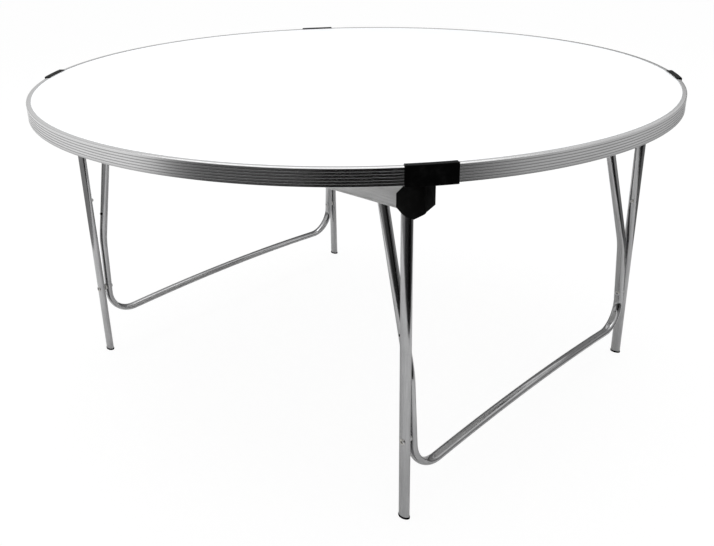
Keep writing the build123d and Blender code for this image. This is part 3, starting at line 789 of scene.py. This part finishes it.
def bent_path(corners, radii):
    """Points along straight runs joined by arcs of the given radii."""
    points = [corners[0]]
    for before, corner, after, radius in zip(corners, corners[1:], corners[2:], radii):
        back, ahead = (before - corner).normalized(), (after - corner).normalized()
        turn = pi - back.angle(ahead)
        centre = corner + (back + ahead).normalized() * radius / cos(turn / 2)
        start = corner + back * radius * tan(turn / 2)
        axis = back.cross(ahead).normalized()
        steps = max(2, round(turn / BEND_STEP), round(turn * radius / MOST_ARC_GAP))
        for step in range(steps + 1):
            rotation = Matrix.Rotation(-turn * step / steps, 3, axis)
            points.append(centre + rotation @ (start - centre))
    points.append(corners[-1])
    return spread(points)


def spread(points):
    """Add points on long runs, so that no two rings are far apart."""
    filled = [points[0]]
    for before, after in zip(points, points[1:]):
        parts = max(1, round((after - before).length / MOST_RING_GAP))
        filled += [before.lerp(after, part / parts) for part in range(1, parts + 1)]
    return filled


def tube_frames(path, long_axis):
    """At each point: the point, the oval's long and short axes, and the length so far."""
    frames, length, axis = [], 0.0, long_axis
    for index, point in enumerate(path):
        ahead = path[min(index + 1, len(path) - 1)] - point
        behind = point - path[max(index - 1, 0)]
        tangent = (ahead.normalized() + behind.normalized()).normalized()
        axis = (axis - tangent * axis.dot(tangent)).normalized()
        length += behind.length
        frames.append((point, axis, tangent.cross(axis), length))
    return frames


def tube_rings(frames, half_long, half_short):
    """Oval rings and their grain along a row of frames."""
    outline = oval(half_long, half_short, TUBE_SIDES)
    rings = [[p + a * x + b * y for x, y in outline] for p, a, b, _ in frames]
    grains = [[(x, y, length) for x, y in outline] for _, _, _, length in frames]
    return rings, grains


def make_tube(name, path, long_axis, half_long, half_short):
    """A hollow oval tube along a path."""
    frames = tube_frames(path, long_axis)
    outer, outer_grain = tube_rings(frames, half_long, half_short)
    inner, inner_grain = tube_rings(frames, half_long - TUBE_WALL, half_short - TUBE_WALL)
    return skin(name, outer + inner[::-1], outer_grain + inner_grain[::-1], joined=True)


def make_leg():
    foot = Vector((RIVET.x, RIVET.y, leg_low.z))
    head = Vector((RIVET.x, RIVET.y, leg_high.z))
    return make_tube("leg", spread([foot, head]), Vector((1, 0, 0)), LEG_HALF_LONG, LEG_HALF_SHORT)


dress_corners("leg_tube", make_leg())
print("leg tube is", round(leg_high.z - leg_low.z, 4), "m long")

# %% [markdown]
# The brace is one tube bent four times: two wide knees, where the arms come away from the legs,
# and two tight corners at the bar near the floor. The bar itself is slightly arched. Its corner
# points follow from the pivot, the rivet, and the tube's box, and the arcs between them have the
# radii of the bending formers.

# %% U braces
BRACE_HALF_LONG = 12.25 * MM
BRACE_HALF_SHORT = 8.0 * MM
BRACE_KNEE_HEIGHT = 0.3275
BRACE_KNEE_RADIUS = 0.25
BRACE_CORNER_RADIUS = 0.072
CROSSBAR_HEIGHT = 0.109
CROSSBAR_ARCH = 3.1
CROSSBAR_RUN_OUT = 5.0 * MM
BRACE_LEAN = 3.25
BRACE_NARROWING = 13.0 * MM
BRACE_END_PAST_PIVOT = 12.0 * MM


def arch_size(arm_y):
    """Radius of the arched bar, and how high its crown point and its end points are."""
    slope = tan(radians(CROSSBAR_ARCH))
    corner_reach = BRACE_CORNER_RADIUS * tan(radians(90 + CROSSBAR_ARCH) / 2)
    radius = (arm_y - corner_reach - CROSSBAR_RUN_OUT) / slope
    crown_height = CROSSBAR_HEIGHT + radius * (1 / cos(radians(CROSSBAR_ARCH)) - 1)
    return radius, crown_height, crown_height - arm_y * slope


def brace_corners(arm_y):
    """Corners of the brace's centre line, from the front arm's end to the back one."""
    slope = tan(radians(BRACE_LEAN))
    _, crown_height, end_height = arch_size(arm_y)
    pivot = Vector((PIVOT.x, arm_y - BRACE_NARROWING, PIVOT.z))
    knee_x = RIVET.x - slope * (BRACE_KNEE_HEIGHT - RIVET.z)
    knee = Vector((knee_x, arm_y, BRACE_KNEE_HEIGHT))
    bar_x = RIVET.x + slope * (RIVET.z - end_height)
    arm_end = pivot + (pivot - knee).normalized() * BRACE_END_PAST_PIVOT
    back_half = [Vector((bar_x, arm_y, end_height)), knee, arm_end]
    front_half = [Vector((p.x, -p.y, p.z)) for p in reversed(back_half)]
    return front_half + [Vector((bar_x, 0, crown_height))] + back_half


def make_brace():
    arm_y = brace_high.y - BRACE_HALF_SHORT
    corners = brace_corners(arm_y)
    arm_radii = [BRACE_KNEE_RADIUS, BRACE_CORNER_RADIUS]
    path = bent_path(corners, arm_radii + [arch_size(arm_y)[0]] + arm_radii[::-1])
    long_axis = Vector((0, 1, 0)).cross((corners[1] - corners[0]).normalized())
    return make_tube("brace", path, long_axis, BRACE_HALF_LONG, BRACE_HALF_SHORT)


brace_mesh = make_brace()
for side in SIDES:
    dress(f"u_brace_{side}", at_corner(brace_mesh, side, "back"))
print("brace has", len(brace_mesh.polygons), "faces")

# %% [markdown]
# A foot is a rubber plug with an oval sole, and a shoe is the same thing for the upper end of the
# leg. Both are stacks of ovals. Each ring stands a little further out or in than the tube's own
# oval, which keeps an even margin all round, where plain scaling would not.

# %% Feet and shoes
PLUG_DEPTH = 22.0 * MM
PLUG_CLEARANCE = 0.1 * MM
FOOT_OVERHANG = 0.9 * MM
FOOT_EDGE = 1.2 * MM
SHOE_EDGE = 1.5 * MM
RUBBER_EASE = 0.3 * MM
EDGE_STEPS = 5


def eased_edge(margin, edge, level, direction):
    """Levels of a quarter-round edge that ends at a flat face. direction is up or down."""
    turns = [pi / 2 * step / EDGE_STEPS for step in range(EDGE_STEPS + 1)]
    return [(margin - edge * (1 - sin(t)), level - direction * edge * (1 - cos(t))) for t in turns]


def make_cap(name, levels):
    """A stack of ovals on the leg's axis, as (margin outside the tube, height)."""
    rings = []
    for margin, height in levels:
        outline = oval(LEG_HALF_LONG + margin, LEG_HALF_SHORT + margin, TUBE_SIDES)
        rings.append([(RIVET.x + x, RIVET.y + y, height) for x, y in outline])
    return skin(name, rings, rings)


def make_foot():
    plug = -TUBE_WALL - PLUG_CLEARANCE
    levels = eased_edge(FOOT_OVERHANG, FOOT_EDGE, 0.0, -1)
    levels += [(FOOT_OVERHANG, leg_low.z - RUBBER_EASE), (FOOT_OVERHANG - RUBBER_EASE, leg_low.z)]
    levels += [(plug, leg_low.z), (plug, leg_low.z + PLUG_DEPTH - MM)]
    levels += [(plug - 0.7 * MM, leg_low.z + PLUG_DEPTH)]
    return make_cap("foot", levels)


def make_shoe():
    plug = -TUBE_WALL - PLUG_CLEARANCE
    shoe_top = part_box("leg_shoe_right_back")[1].z
    levels = eased_edge(0.0, SHOE_EDGE, shoe_top, 1)
    levels += [(0.0, leg_high.z), (plug, leg_high.z), (plug, leg_high.z - PLUG_DEPTH)]
    return make_cap("shoe", levels)


foot_mesh, shoe_mesh = make_foot(), make_shoe()
dress_corners("foot_cap", foot_mesh)
dress_corners("leg_shoe", shoe_mesh)
print("feet stand on", round(min(v.co.z for v in foot_mesh.vertices), 6))

# %% [markdown]
# Rivets, pins, bushes, washers, spacers and buttons are all turned about an axis that runs from
# front to back. One function turns a list of (distance along, radius) pairs. A second list of
# radii for the bore makes a ring of it. The rivet heads are domed round a hole, as the snap
# tool leaves a hollow rivet.


# %% Turned parts
TURNED_SIDES = 40
HEAD_RADIUS = 6.5 * MM
HEAD_THICKNESS = 1.8 * MM
PIN_RADIUS = 4.0 * MM
BORE_CLEARANCE = 0.05 * MM


def turned(name, x, z, profile, bore=()):
    """Turn (y, radius) pairs about an axis along Y. bore holds the inner pairs, if any."""
    levels = list(profile) + list(bore)[::-1]
    rings = []
    for y, radius in levels:
        rings.append([(x + across, y, z + up) for across, up in oval(radius, radius, TURNED_SIDES)])
    return skin(name, rings, rings, joined=bool(bore))


def domed_head(seat, direction):
    """A riveted head from its rim to the bottom of its hole."""
    shape = [(0.0, 1.0), (0.35, 0.99), (0.72, 0.91), (0.94, 0.76), (1.0, 0.62), (0.95, 0.52)]
    shape += [(0.2, 0.48), (-2.6, 0.42), (-2.8, 0.1)]
    return [(seat + direction * HEAD_THICKNESS * up, HEAD_RADIUS * out) for up, out in shape]


def make_rivet(name, x, z, low, high):
    """A pin with a formed head at both ends, from the node's own length."""
    front, back = low + HEAD_THICKNESS, high - HEAD_THICKNESS
    profile = domed_head(front, -1)[::-1] + [(front, PIN_RADIUS), (back, PIN_RADIUS)]
    return turned(name, x, z, profile + domed_head(back, 1))


def make_ring(name, x, z, low, high, outer, inner):
    """A bush, washer or spacer with eased edges."""
    ease = min(0.3 * MM, (high - low) / 4)
    outside = [(low, outer - ease), (low + ease, outer), (high - ease, outer), (high, outer - ease)]
    return turned(name, x, z, outside, [(low, inner), (high, inner)])


def make_button(x, z, face, tip, radius):
    """A stud with a rounded end."""
    reach = tip - face
    shape = [(0.0, 1.0), (0.55, 0.98), (0.8, 0.85), (0.95, 0.55), (1.0, 0.2)]
    return turned("button", x, z, [(face + reach * share, radius * out) for share, out in shape])


print("turned parts use", TURNED_SIDES, "sides")

# %% [markdown]
# The turned nodes hold one piece at the front and one at the back, and some hold all four
# corners. Each node's box gives the outermost ends, and the length of a piece is read from the
# vertices of its own corner, so nothing here repeats a size of the solid.


# %% Place the turned parts
def corner_box(node):
    """The box of the part of a node at the right back, or mirrored there from the left."""
    side = -1 if "left" in node else 1
    vertices = frame["nodes"][node].data.vertices
    points = [(v.co.x * side, v.co.y, v.co.z) for v in vertices if v.co.x * side > 0 and v.co.y > 0]
    return Vector(map(min, zip(*points))), Vector(map(max, zip(*points)))


def dress_group(node, mesh, corners):
    """One node that holds copies of a small part at several corners."""
    return dress(node, joined_meshes(node, [at_corner(mesh, side, end) for side, end in corners]))


pin_low, pin_high = corner_box("pivot_pins")
washer_low, washer_high = corner_box("pivot_washers")
pin_mesh = make_rivet("pin", PIVOT.x, PIVOT.z, pin_low.y, pin_high.y)
bore = PIN_RADIUS + BORE_CLEARANCE
washer_radius = (washer_high.z - washer_low.z) / 2
washer_mesh = make_ring("washer", PIVOT.x, PIVOT.z, washer_low.y, washer_high.y, washer_radius, bore)
dress_group("pivot_pins", pin_mesh, CORNERS)
dress_group("pivot_washers", washer_mesh, CORNERS)
for side in SIDES:
    ends = [(side, end) for end in ENDS]
    for node, make, axis in (
        (f"pivot_bushes_{side}", make_ring, PIVOT),
        (f"rivet_spacers_{side}", make_ring, RIVET),
        (f"leg_rivets_{side}", make_rivet, RIVET),
    ):
        low, high = corner_box(node)
        sizes = ((high.z - low.z) / 2, bore) if make is make_ring else ()
        dress_group(node, make(node, axis.x, axis.z, low.y, high.y, *sizes), ends)
    low, high = corner_box(f"brace_buttons_{side}")
    middle = (low + high) / 2
    button_mesh = make_button(middle.x, middle.z, low.y, high.y, (high.z - low.z) / 2)
    dress_group(f"brace_buttons_{side}", button_mesh, ends)
    for end in ENDS:
        low, high = corner_box(f"leg_button_{side}_back")
        middle = (low + high) / 2
        button_mesh = make_button(middle.x, middle.z, high.y, low.y, (high.z - low.z) / 2)
        dress(f"leg_button_{side}_{end}", at_corner(button_mesh, side, end))
print("pivot pins are", round(pin_high.y - pin_low.y, 4), "m long")

# %% [markdown]
# The side rails are aluminium angles with a small bead along the lower edge. The bead stops
# where the sockets wrap the rail. An extrusion with one section can't do that, so the rings near
# the ends have the same points with the bead pressed flat.

# %% Side rails
RAIL_THICKNESS = 2.0 * MM
RAIL_BEAD_WIDTH = 1.5 * MM
RAIL_BEAD_HEIGHT = 2.5 * MM
RAIL_CORNER = 0.5 * MM
SOCKET_GAP = 0.6 * MM
rail_low, rail_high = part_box("side_rail_back")
socket_low, socket_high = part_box("leg_socket_right_back")


def rail_section(bead):
    """The angle's outline as (y, z), with its bead standing out by a given width."""
    face = rail_high.y - RAIL_BEAD_WIDTH
    web = face - RAIL_THICKNESS
    flange_bottom = rail_high.z - RAIL_THICKNESS
    outline = [
        (rail_low.y, rail_high.z),
        (face, rail_high.z),
        (face, rail_low.z + RAIL_BEAD_HEIGHT),
        (face + bead, rail_low.z + RAIL_BEAD_HEIGHT),
        (face + bead, rail_low.z),
        (web, rail_low.z),
        (web, flange_bottom),
        (rail_low.y, flange_bottom),
    ]
    return round_corners(outline, RAIL_CORNER, 3)


def make_rail():
    bead_end = socket_low.x - SOCKET_GAP
    flat, full = rail_section(0.01 * MM), rail_section(RAIL_BEAD_WIDTH)
    stations = [(-rail_high.x, flat), (-bead_end, flat), (-bead_end, full)]
    stations += [(bead_end, full), (bead_end, flat), (rail_high.x, flat)]
    rings = [[(x, y, z) for y, z in section] for x, section in stations]
    grains = [[(y, z, x) for y, z in section] for x, section in stations]
    return skin("rail", rings, grains)


rail_mesh = make_rail()
for end in ENDS:
    dress(f"side_rail_{end}", at_corner(rail_mesh, "right", end))
print("rail is", round(2 * rail_high.x, 3), "m long")

# %% [markdown]
# Sockets, brackets and screw recesses are plates joined to or cut out of each other. A plate is
# a flat outline with a thickness. A boolean makes one clean shell of several, where pieces that
# only overlap would leave hidden walls inside.


# %% Plates and unions
def plate(outline, to_point, start, stop):
    """A flat outline with a thickness. to_point places (across, up, depth)."""
    rings = [[to_point(u, v, depth) for u, v in outline] for depth in (start, stop)]
    return skin("plate", rings, rings)


def upright(x, z, y):
    """Outlines drawn as seen from the front."""
    return (x, y, z)


def level(x, y, z):
    """Outlines drawn as seen from above."""
    return (x, y, z)


def rectangle(low_u, high_u, low_v, high_v):
    """Corners of a rectangle."""
    return [(low_u, low_v), (high_u, low_v), (high_u, high_v), (low_u, high_v)]


def combined(meshes, operation="UNION"):
    """Boolean of the first mesh with each of the others."""
    holders = [added("holder", mesh) for mesh in meshes]
    for other in holders[1:]:
        boolean = holders[0].modifiers.new("combine", "BOOLEAN")
        boolean.operation = operation
        boolean.solver = "EXACT"
        boolean.object = other
    mesh = finished(holders[0])
    for other in holders[1:]:
        bpy.data.objects.remove(other)
    return mesh


print("plates ready")

# %% [markdown]
# A socket is a black moulding that wraps the rail's end and holds the top of the leg: an outer
# cheek with a many-sided outline, an inner cheek, a roof, a solid stop and an ear for screws. The
# stop is drafted, lower at the rail and higher inside, so its two ends have different outlines.
# A bevel softens the edges of the united shell.

# %% Leg sockets
SOCKET_CHEEK = 3.5 * MM
SOCKET_ROOF = 5.0 * MM
SOCKET_DEPTH = 79.0 * MM
SOCKET_EDGE = 1.5 * MM
SOCKET_EASE = 0.5 * MM
SOCKET_EAR_WIDTH = 20.0 * MM
SOCKET_EAR_LENGTH = 34.0 * MM
SOCKET_EAR_THICKNESS = 5.0 * MM
SOCKET_INNER_RISE = 20.0 * MM
SOCKET_SHOULDER = 62.0 * MM
SOCKET_TOE = 24.0 * MM
SOCKET_TOE_RISE = 1.0 * MM
STOP_OUTER_INSET = 1.0 * MM
STOP_INNER_INSET = 8.0 * MM
ROOF_TOP = UNDERSIDE - RAIL_THICKNESS
LEG_FACE_X = RIVET.x + LEG_HALF_LONG


def cheek_outline():
    """The outer cheek's many-sided outline as (x, z)."""
    mouth, stop = socket_low.x, socket_high.x
    corners = [
        (stop, 0.0),
        (stop, SOCKET_SHOULDER),
        (stop - 4.0 * MM, SOCKET_SHOULDER + 4.0 * MM),
        (stop - SOCKET_TOE, SOCKET_DEPTH),
        (mouth + 21.5 * MM, SOCKET_DEPTH - SOCKET_TOE_RISE),
        (mouth + 12.0 * MM, SOCKET_DEPTH - 5.0 * MM),
        (mouth, SOCKET_DEPTH - 13.5 * MM),
        (mouth, 40.0 * MM),
        (mouth + 14.5 * MM, 25.0 * MM),
        (mouth + 14.5 * MM, 0.0),
    ]
    return round_corners([(x, ROOF_TOP - depth) for x, depth in corners], SOCKET_EDGE, 3)


def stop_outline(inset):
    """The solid stop behind the leg as (x, z), with its lower edges raised by an inset."""
    stop, face = socket_high.x, LEG_FACE_X + SOCKET_GAP
    corners = [
        (face, 0.0),
        (stop, 0.0),
        (stop, SOCKET_SHOULDER - inset),
        (stop - SOCKET_TOE, SOCKET_DEPTH - inset),
        (face, SOCKET_DEPTH - SOCKET_TOE_RISE - inset),
    ]
    return [(x, ROOF_TOP - depth) for x, depth in corners]


def tapered_stop(inner, rail_face):
    """The stop between its inner and outer outlines."""
    rings = []
    for y, inset in ((inner, STOP_INNER_INSET), (rail_face, STOP_OUTER_INSET)):
        rings.append([(x, y, z) for x, z in stop_outline(inset)])
    return skin("stop", rings, rings)


def make_socket():
    mouth, stop = socket_low.x, socket_high.x
    ear_low_y, outer = socket_low.y, socket_high.y
    inner = ear_low_y + SOCKET_EAR_WIDTH
    rail_face = outer - SOCKET_CHEEK
    roof_bottom = ROOF_TOP - SOCKET_ROOF
    inner_bottom = ROOF_TOP - SOCKET_DEPTH + SOCKET_INNER_RISE
    cheek = plate(cheek_outline(), upright, rail_face, outer)
    block = tapered_stop(inner, rail_face)
    roof = rectangle(mouth, stop, inner, rail_face - RAIL_THICKNESS)
    wall = rectangle(mouth, LEG_FACE_X + SOCKET_GAP, inner_bottom, roof_bottom)
    ear = rectangle(stop - SOCKET_EAR_LENGTH, stop, ear_low_y, inner)
    meshes = [
        block,
        cheek,
        plate(round_corners(roof, SOCKET_EASE), level, roof_bottom, ROOF_TOP),
        plate(round_corners(wall, SOCKET_EASE), upright, inner, inner + SOCKET_CHEEK),
        plate(round_corners(ear, 2 * SOCKET_EDGE), level, UNDERSIDE - SOCKET_EAR_THICKNESS, UNDERSIDE),
    ]
    return bevelled(combined(meshes), SOCKET_EASE, 2)


socket_mesh = make_socket()
dress_corners("leg_socket", socket_mesh)
print("socket has", len(socket_mesh.polygons), "faces")

# %% [markdown]
# A bracket is a steel angle: an upright plate with a rounded end for the pivot pin, and a flange
# that is screwed to the board. The two plates are united, and the edges are just broken, as a
# press leaves them.

# %% Brace brackets
BRACKET_THICKNESS = 3.0 * MM
BRACKET_END_RADIUS = 14.0 * MM
BRACKET_END_STEPS = 12
BRACKET_CORNER = 3.0 * MM
BRACKET_EASE = 0.4 * MM
bracket_low, bracket_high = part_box("brace_bracket_right_back")


def bracket_outline():
    """The upright plate as (x, z): straight sides down to a round end at the pin."""
    half = (bracket_high.x - bracket_low.x) / 2
    outline = [(PIVOT.x - half, UNDERSIDE), (PIVOT.x - half, PIVOT.z)]
    outline.append((PIVOT.x - BRACKET_END_RADIUS, PIVOT.z))
    for step in range(BRACKET_END_STEPS + 1):
        angle = pi + pi * step / BRACKET_END_STEPS
        across, up = BRACKET_END_RADIUS * cos(angle), BRACKET_END_RADIUS * sin(angle)
        outline.append((PIVOT.x + across, PIVOT.z + up))
    return outline + [(PIVOT.x + half, PIVOT.z), (PIVOT.x + half, UNDERSIDE)]


def make_bracket():
    front = bracket_high.y - BRACKET_THICKNESS
    flange = rectangle(bracket_low.x, bracket_high.x, bracket_low.y, bracket_high.y)
    upright_plate = plate(bracket_outline(), upright, front, bracket_high.y)
    flange = round_corners(flange, BRACKET_CORNER)
    flange_plate = plate(flange, level, UNDERSIDE - BRACKET_THICKNESS, UNDERSIDE)
    return bevelled(combined([flange_plate, upright_plate]), BRACKET_EASE, 2)


bracket_mesh = make_bracket()
dress_corners("brace_bracket", bracket_mesh)
print("bracket has", len(bracket_mesh.polygons), "faces")

# %% [markdown]
# Each screw has a pan head with a cross recess. The recess is cut once, from one screw, and the
# finished screw is copied to every place that the node's own vertices give.

# %% Screws
SCREW_RADIUS = 2.0 * MM
SCREW_HEAD_RADIUS = 4.0 * MM
SCREW_HEAD_THICKNESS = 2.0 * MM
RECESS_DEPTH = 1.3 * MM
RECESS_LONG = 2.1 * MM
RECESS_SHORT = 0.5 * MM
SCREW_SIDES = 28
SCREW_TURN = 37


def make_screw(bottom, top):
    """A screw from its head's lowest level to its point, on the axis x = y = 0."""
    shape = [(0.0, 0.25), (0.08, 0.55), (0.3, 0.84), (0.62, 0.98), (1.0, 1.0)]
    levels = [(SCREW_HEAD_RADIUS * out, bottom + SCREW_HEAD_THICKNESS * up) for up, out in shape]
    seat = bottom + SCREW_HEAD_THICKNESS
    levels += [(SCREW_RADIUS, seat), (SCREW_RADIUS, top - SCREW_RADIUS), (0.2 * MM, top)]
    rings = [[(x, y, height) for x, y in oval(radius, radius, SCREW_SIDES)] for radius, height in levels]
    body = skin("screw", rings, rings)
    slots = []
    for long_x, long_y in ((RECESS_LONG, RECESS_SHORT), (RECESS_SHORT, RECESS_LONG)):
        outline = rectangle(-long_x, long_x, -long_y, long_y)
        slots.append(plate(outline, level, bottom - MM, bottom + RECESS_DEPTH))
    return combined([body] + slots, "DIFFERENCE")


def screw_places(node):
    """The middle of each separate screw of a node, found from its lowest vertices."""
    vertices = frame["nodes"][node].data.vertices
    bottom = min(v.co.z for v in vertices)
    clusters = []
    for v in vertices:
        if v.co.z >= bottom + 0.5 * SCREW_HEAD_THICKNESS:
            continue
        near = [c for c in clusters if (c[0] - v.co.xy).length < 3 * SCREW_HEAD_RADIUS]
        if near:
            near[0].append(v.co.xy)
        else:
            clusters.append([v.co.xy])
    return [[(min(column) + max(column)) / 2 for column in zip(*points)] for points in clusters]


for node in ("rail_screws", "bracket_screws", "socket_screws"):
    node_low, node_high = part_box(node)
    screw = make_screw(node_low.z, node_high.z)
    copies = []
    for index, (x, y) in enumerate(screw_places(node)):
        copy = screw.copy()
        turn = Matrix.Rotation(radians(SCREW_TURN * index), 4, "Z")
        copy.transform(Matrix.Translation((x, y, 0)) @ turn)
        copies.append(copy)
    dress(node, joined_meshes(node, copies))
    print(node, len(copies))

# %% [markdown]
# The core and the balancing sheet are plain discs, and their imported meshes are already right.
# They keep their shapes and get the materials made above.

# %% Nodes that keep their shape
for node in ("top_core", "underside_sheet"):
    kept = frame["nodes"][node]
    kept.data.materials.clear()
    kept.data.materials.append(MATERIALS[NODE_SLOT[node]])
    print(node, "keeps its shape")

# %% [markdown]
# The studio is a wide pale floor under an even white sky, with one large soft lamp overhead. The
# photograph's background is pure white, so the camera sees the floor mostly as white paper, and
# a share of the real floor still shows, which keeps a soft shadow.

# %% Floor
FLOOR_RADIUS = 30.0
FLOOR_RINGS = (0.3, 2.0, FLOOR_RADIUS)
FLOOR_THICKNESS = 0.05
FLOOR_SIDES = 96
FLOOR_WHITE = (0.94, 0.94, 0.94, 1)
FLOOR_SHADE = (0.92, 0.92, 0.92, 1)
FLOOR_PAPER_SHARE = 0.9
PAPER_LIGHT = 1.03


def make_floor():
    rings = [level_ring(radius, 0.0, FLOOR_SIDES) for radius in FLOOR_RINGS]
    rings.append(level_ring(FLOOR_RADIUS, -FLOOR_THICKNESS, FLOOR_SIDES))
    floor = added("floor", skin("floor", rings, rings))
    shader = Shader.of("floor")
    cloud = shader.noise(shader.place(), 3.0)
    color = shader.mix(0.2 * cloud, FLOOR_WHITE, FLOOR_SHADE)
    matt = shader.node("ShaderNodeBsdfPrincipled", None, {"Base Color": color, "Roughness": 0.9})
    paper = shader.node("ShaderNodeEmission", None, {"Strength": PAPER_LIGHT})
    seen = shader.node("ShaderNodeLightPath", None, None, "Is Camera Ray")
    both = shader.node("ShaderNodeMixShader", None, {0: FLOOR_PAPER_SHARE * seen, 1: matt, 2: paper})
    shader.node("ShaderNodeOutputMaterial", None, {"Surface": both})
    floor.data.materials.append(MATERIALS["floor"])
    floor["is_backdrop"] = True
    return floor


floor = make_floor()
print("floor radius", FLOOR_RADIUS)

# %% [markdown]
# Bright metal has no colour of its own: it shows the room. The studio in the photograph was
# light at the left, dark in front and grey at the right and behind, and that is what draws the
# tubes and the rim. A ring of cards stands round the table for that, dimmer at its foot, where the
# room was darker. Only reflections see it, so it neither lights nor shades the table.

# %% Reflection cards
CARD_RADIUS = 1.5
CARD_TOP = 1.05
CARD_STEPS = 120
CARD_FOOT = 0.45
CARD_DIM_BELOW = 0.30
CARD_FULL_ABOVE = 0.50
CARD_TONES = {
    -180: 0.72,
    -104: 0.78,
    -97: 0.60,
    -91: 0.24,
    -84: 0.10,
    -75: 0.075,
    -62: 0.055,
    -54: 0.01,
    -36: 0.006,
    -22: 0.14,
    -8: 0.37,
    4: 0.44,
    30: 0.47,
    60: 0.42,
    110: 0.24,
    140: 0.24,
    160: 0.45,
    180: 0.72,
}


def make_cards():
    rings = [level_ring(CARD_RADIUS, height, CARD_STEPS) for height in (0.0, CARD_TOP)]
    mesh = bpy.data.meshes.new("cards")
    faces = []
    for spot in range(CARD_STEPS):
        after = (spot + 1) % CARD_STEPS
        faces.append((spot, after, CARD_STEPS + after, CARD_STEPS + spot))
    mesh.from_pydata(rings[0] + rings[1], [], faces)
    cards = added("cards", mesh)
    for ray in ("camera", "diffuse", "transmission", "volume_scatter", "shadow"):
        setattr(cards, f"visible_{ray}", False)
    cards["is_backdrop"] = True
    return cards


def paint_cards(cards):
    shader = Shader.of("cards")
    turn = shader.node("ShaderNodeTexGradient", {"gradient_type": "RADIAL"}, {"Vector": shader.place()})
    tone = shader.node("ShaderNodeValToRGB", None, {"Fac": turn})
    stops = tone.output.node.color_ramp.elements
    for direction, grey in CARD_TONES.items():
        position = (direction + 180) / 360
        stop = {0.0: stops[0], 1.0: stops[-1]}.get(position) or stops.new(position)
        stop.color = (grey, grey, grey, 1)
    height = shader.node("ShaderNodeSeparateXYZ", None, {0: shader.place()}, "Z")
    share = shader.ramp(height, CARD_DIM_BELOW, CARD_FULL_ABOVE, CARD_FOOT, 1.0)
    dimmed = shader.mix(share, (0, 0, 0, 1), tone)
    glow = shader.node("ShaderNodeEmission", None, {"Color": dimmed})
    shader.node("ShaderNodeOutputMaterial", None, {"Surface": glow})
    cards.data.materials.append(MATERIALS["cards"])


cards = make_cards()
paint_cards(cards)
print("cards at", CARD_RADIUS, "m")

# %% [markdown]
# The sky lights the table a little from everywhere, and the lamp adds the rest from above, at a
# level where white renders as white. Rays from the camera and from metal see a plain white sky.

# %% Sky and lamp
SKY_FILL = 0.62
LAMP_POWER = 90.0
LAMP_SIZE = 4.0
LAMP_PLACE = (-0.3, 0.0, 3.8)


def make_sky():
    world = bpy.data.worlds.new("sky")
    bpy.context.scene.world = world
    world.use_nodes = True
    shader = Shader(world.node_tree)
    path = shader.node("ShaderNodeLightPath", None, None, "Is Camera Ray")
    rays = path.output.node.outputs
    shown = path + Value(shader, rays["Is Glossy Ray"]) + Value(shader, rays["Is Transmission Ray"])
    white = {"Color": (1, 1, 1, 1)}
    fill = shader.node("ShaderNodeBackground", None, {**white, "Strength": SKY_FILL})
    backdrop = shader.node("ShaderNodeBackground", None, {**white, "Strength": 1.0})
    sky = shader.node("ShaderNodeMixShader", None, {0: shown, 1: fill, 2: backdrop})
    shader.node("ShaderNodeOutputWorld", None, {"Surface": sky})


def make_lamp():
    lamp = added("lamp", bpy.data.lights.new("lamp", "AREA"))
    lamp.data.energy = LAMP_POWER
    lamp.data.size = LAMP_SIZE
    lamp.location = LAMP_PLACE
    aim = Vector((0, 0, TABLE_TOP)) - Vector(LAMP_PLACE)
    lamp.rotation_mode = "QUATERNION"
    lamp.rotation_quaternion = aim.to_track_quat("-Z", "Y")


make_sky()
make_lamp()
bpy.context.scene.view_settings.view_transform = "Standard"
print("sky fill", SKY_FILL, "lamp", LAMP_POWER, "W")

# %% [markdown]
# Last, the box of everything shown is compared with the box of the imported model, because the
# dressing must not change the table's size.

# %% Sizes and finish
low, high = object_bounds()
print("growth in mm", [round(1000 * value, 2) for value in (high - low) - (cad_high - cad_low)])
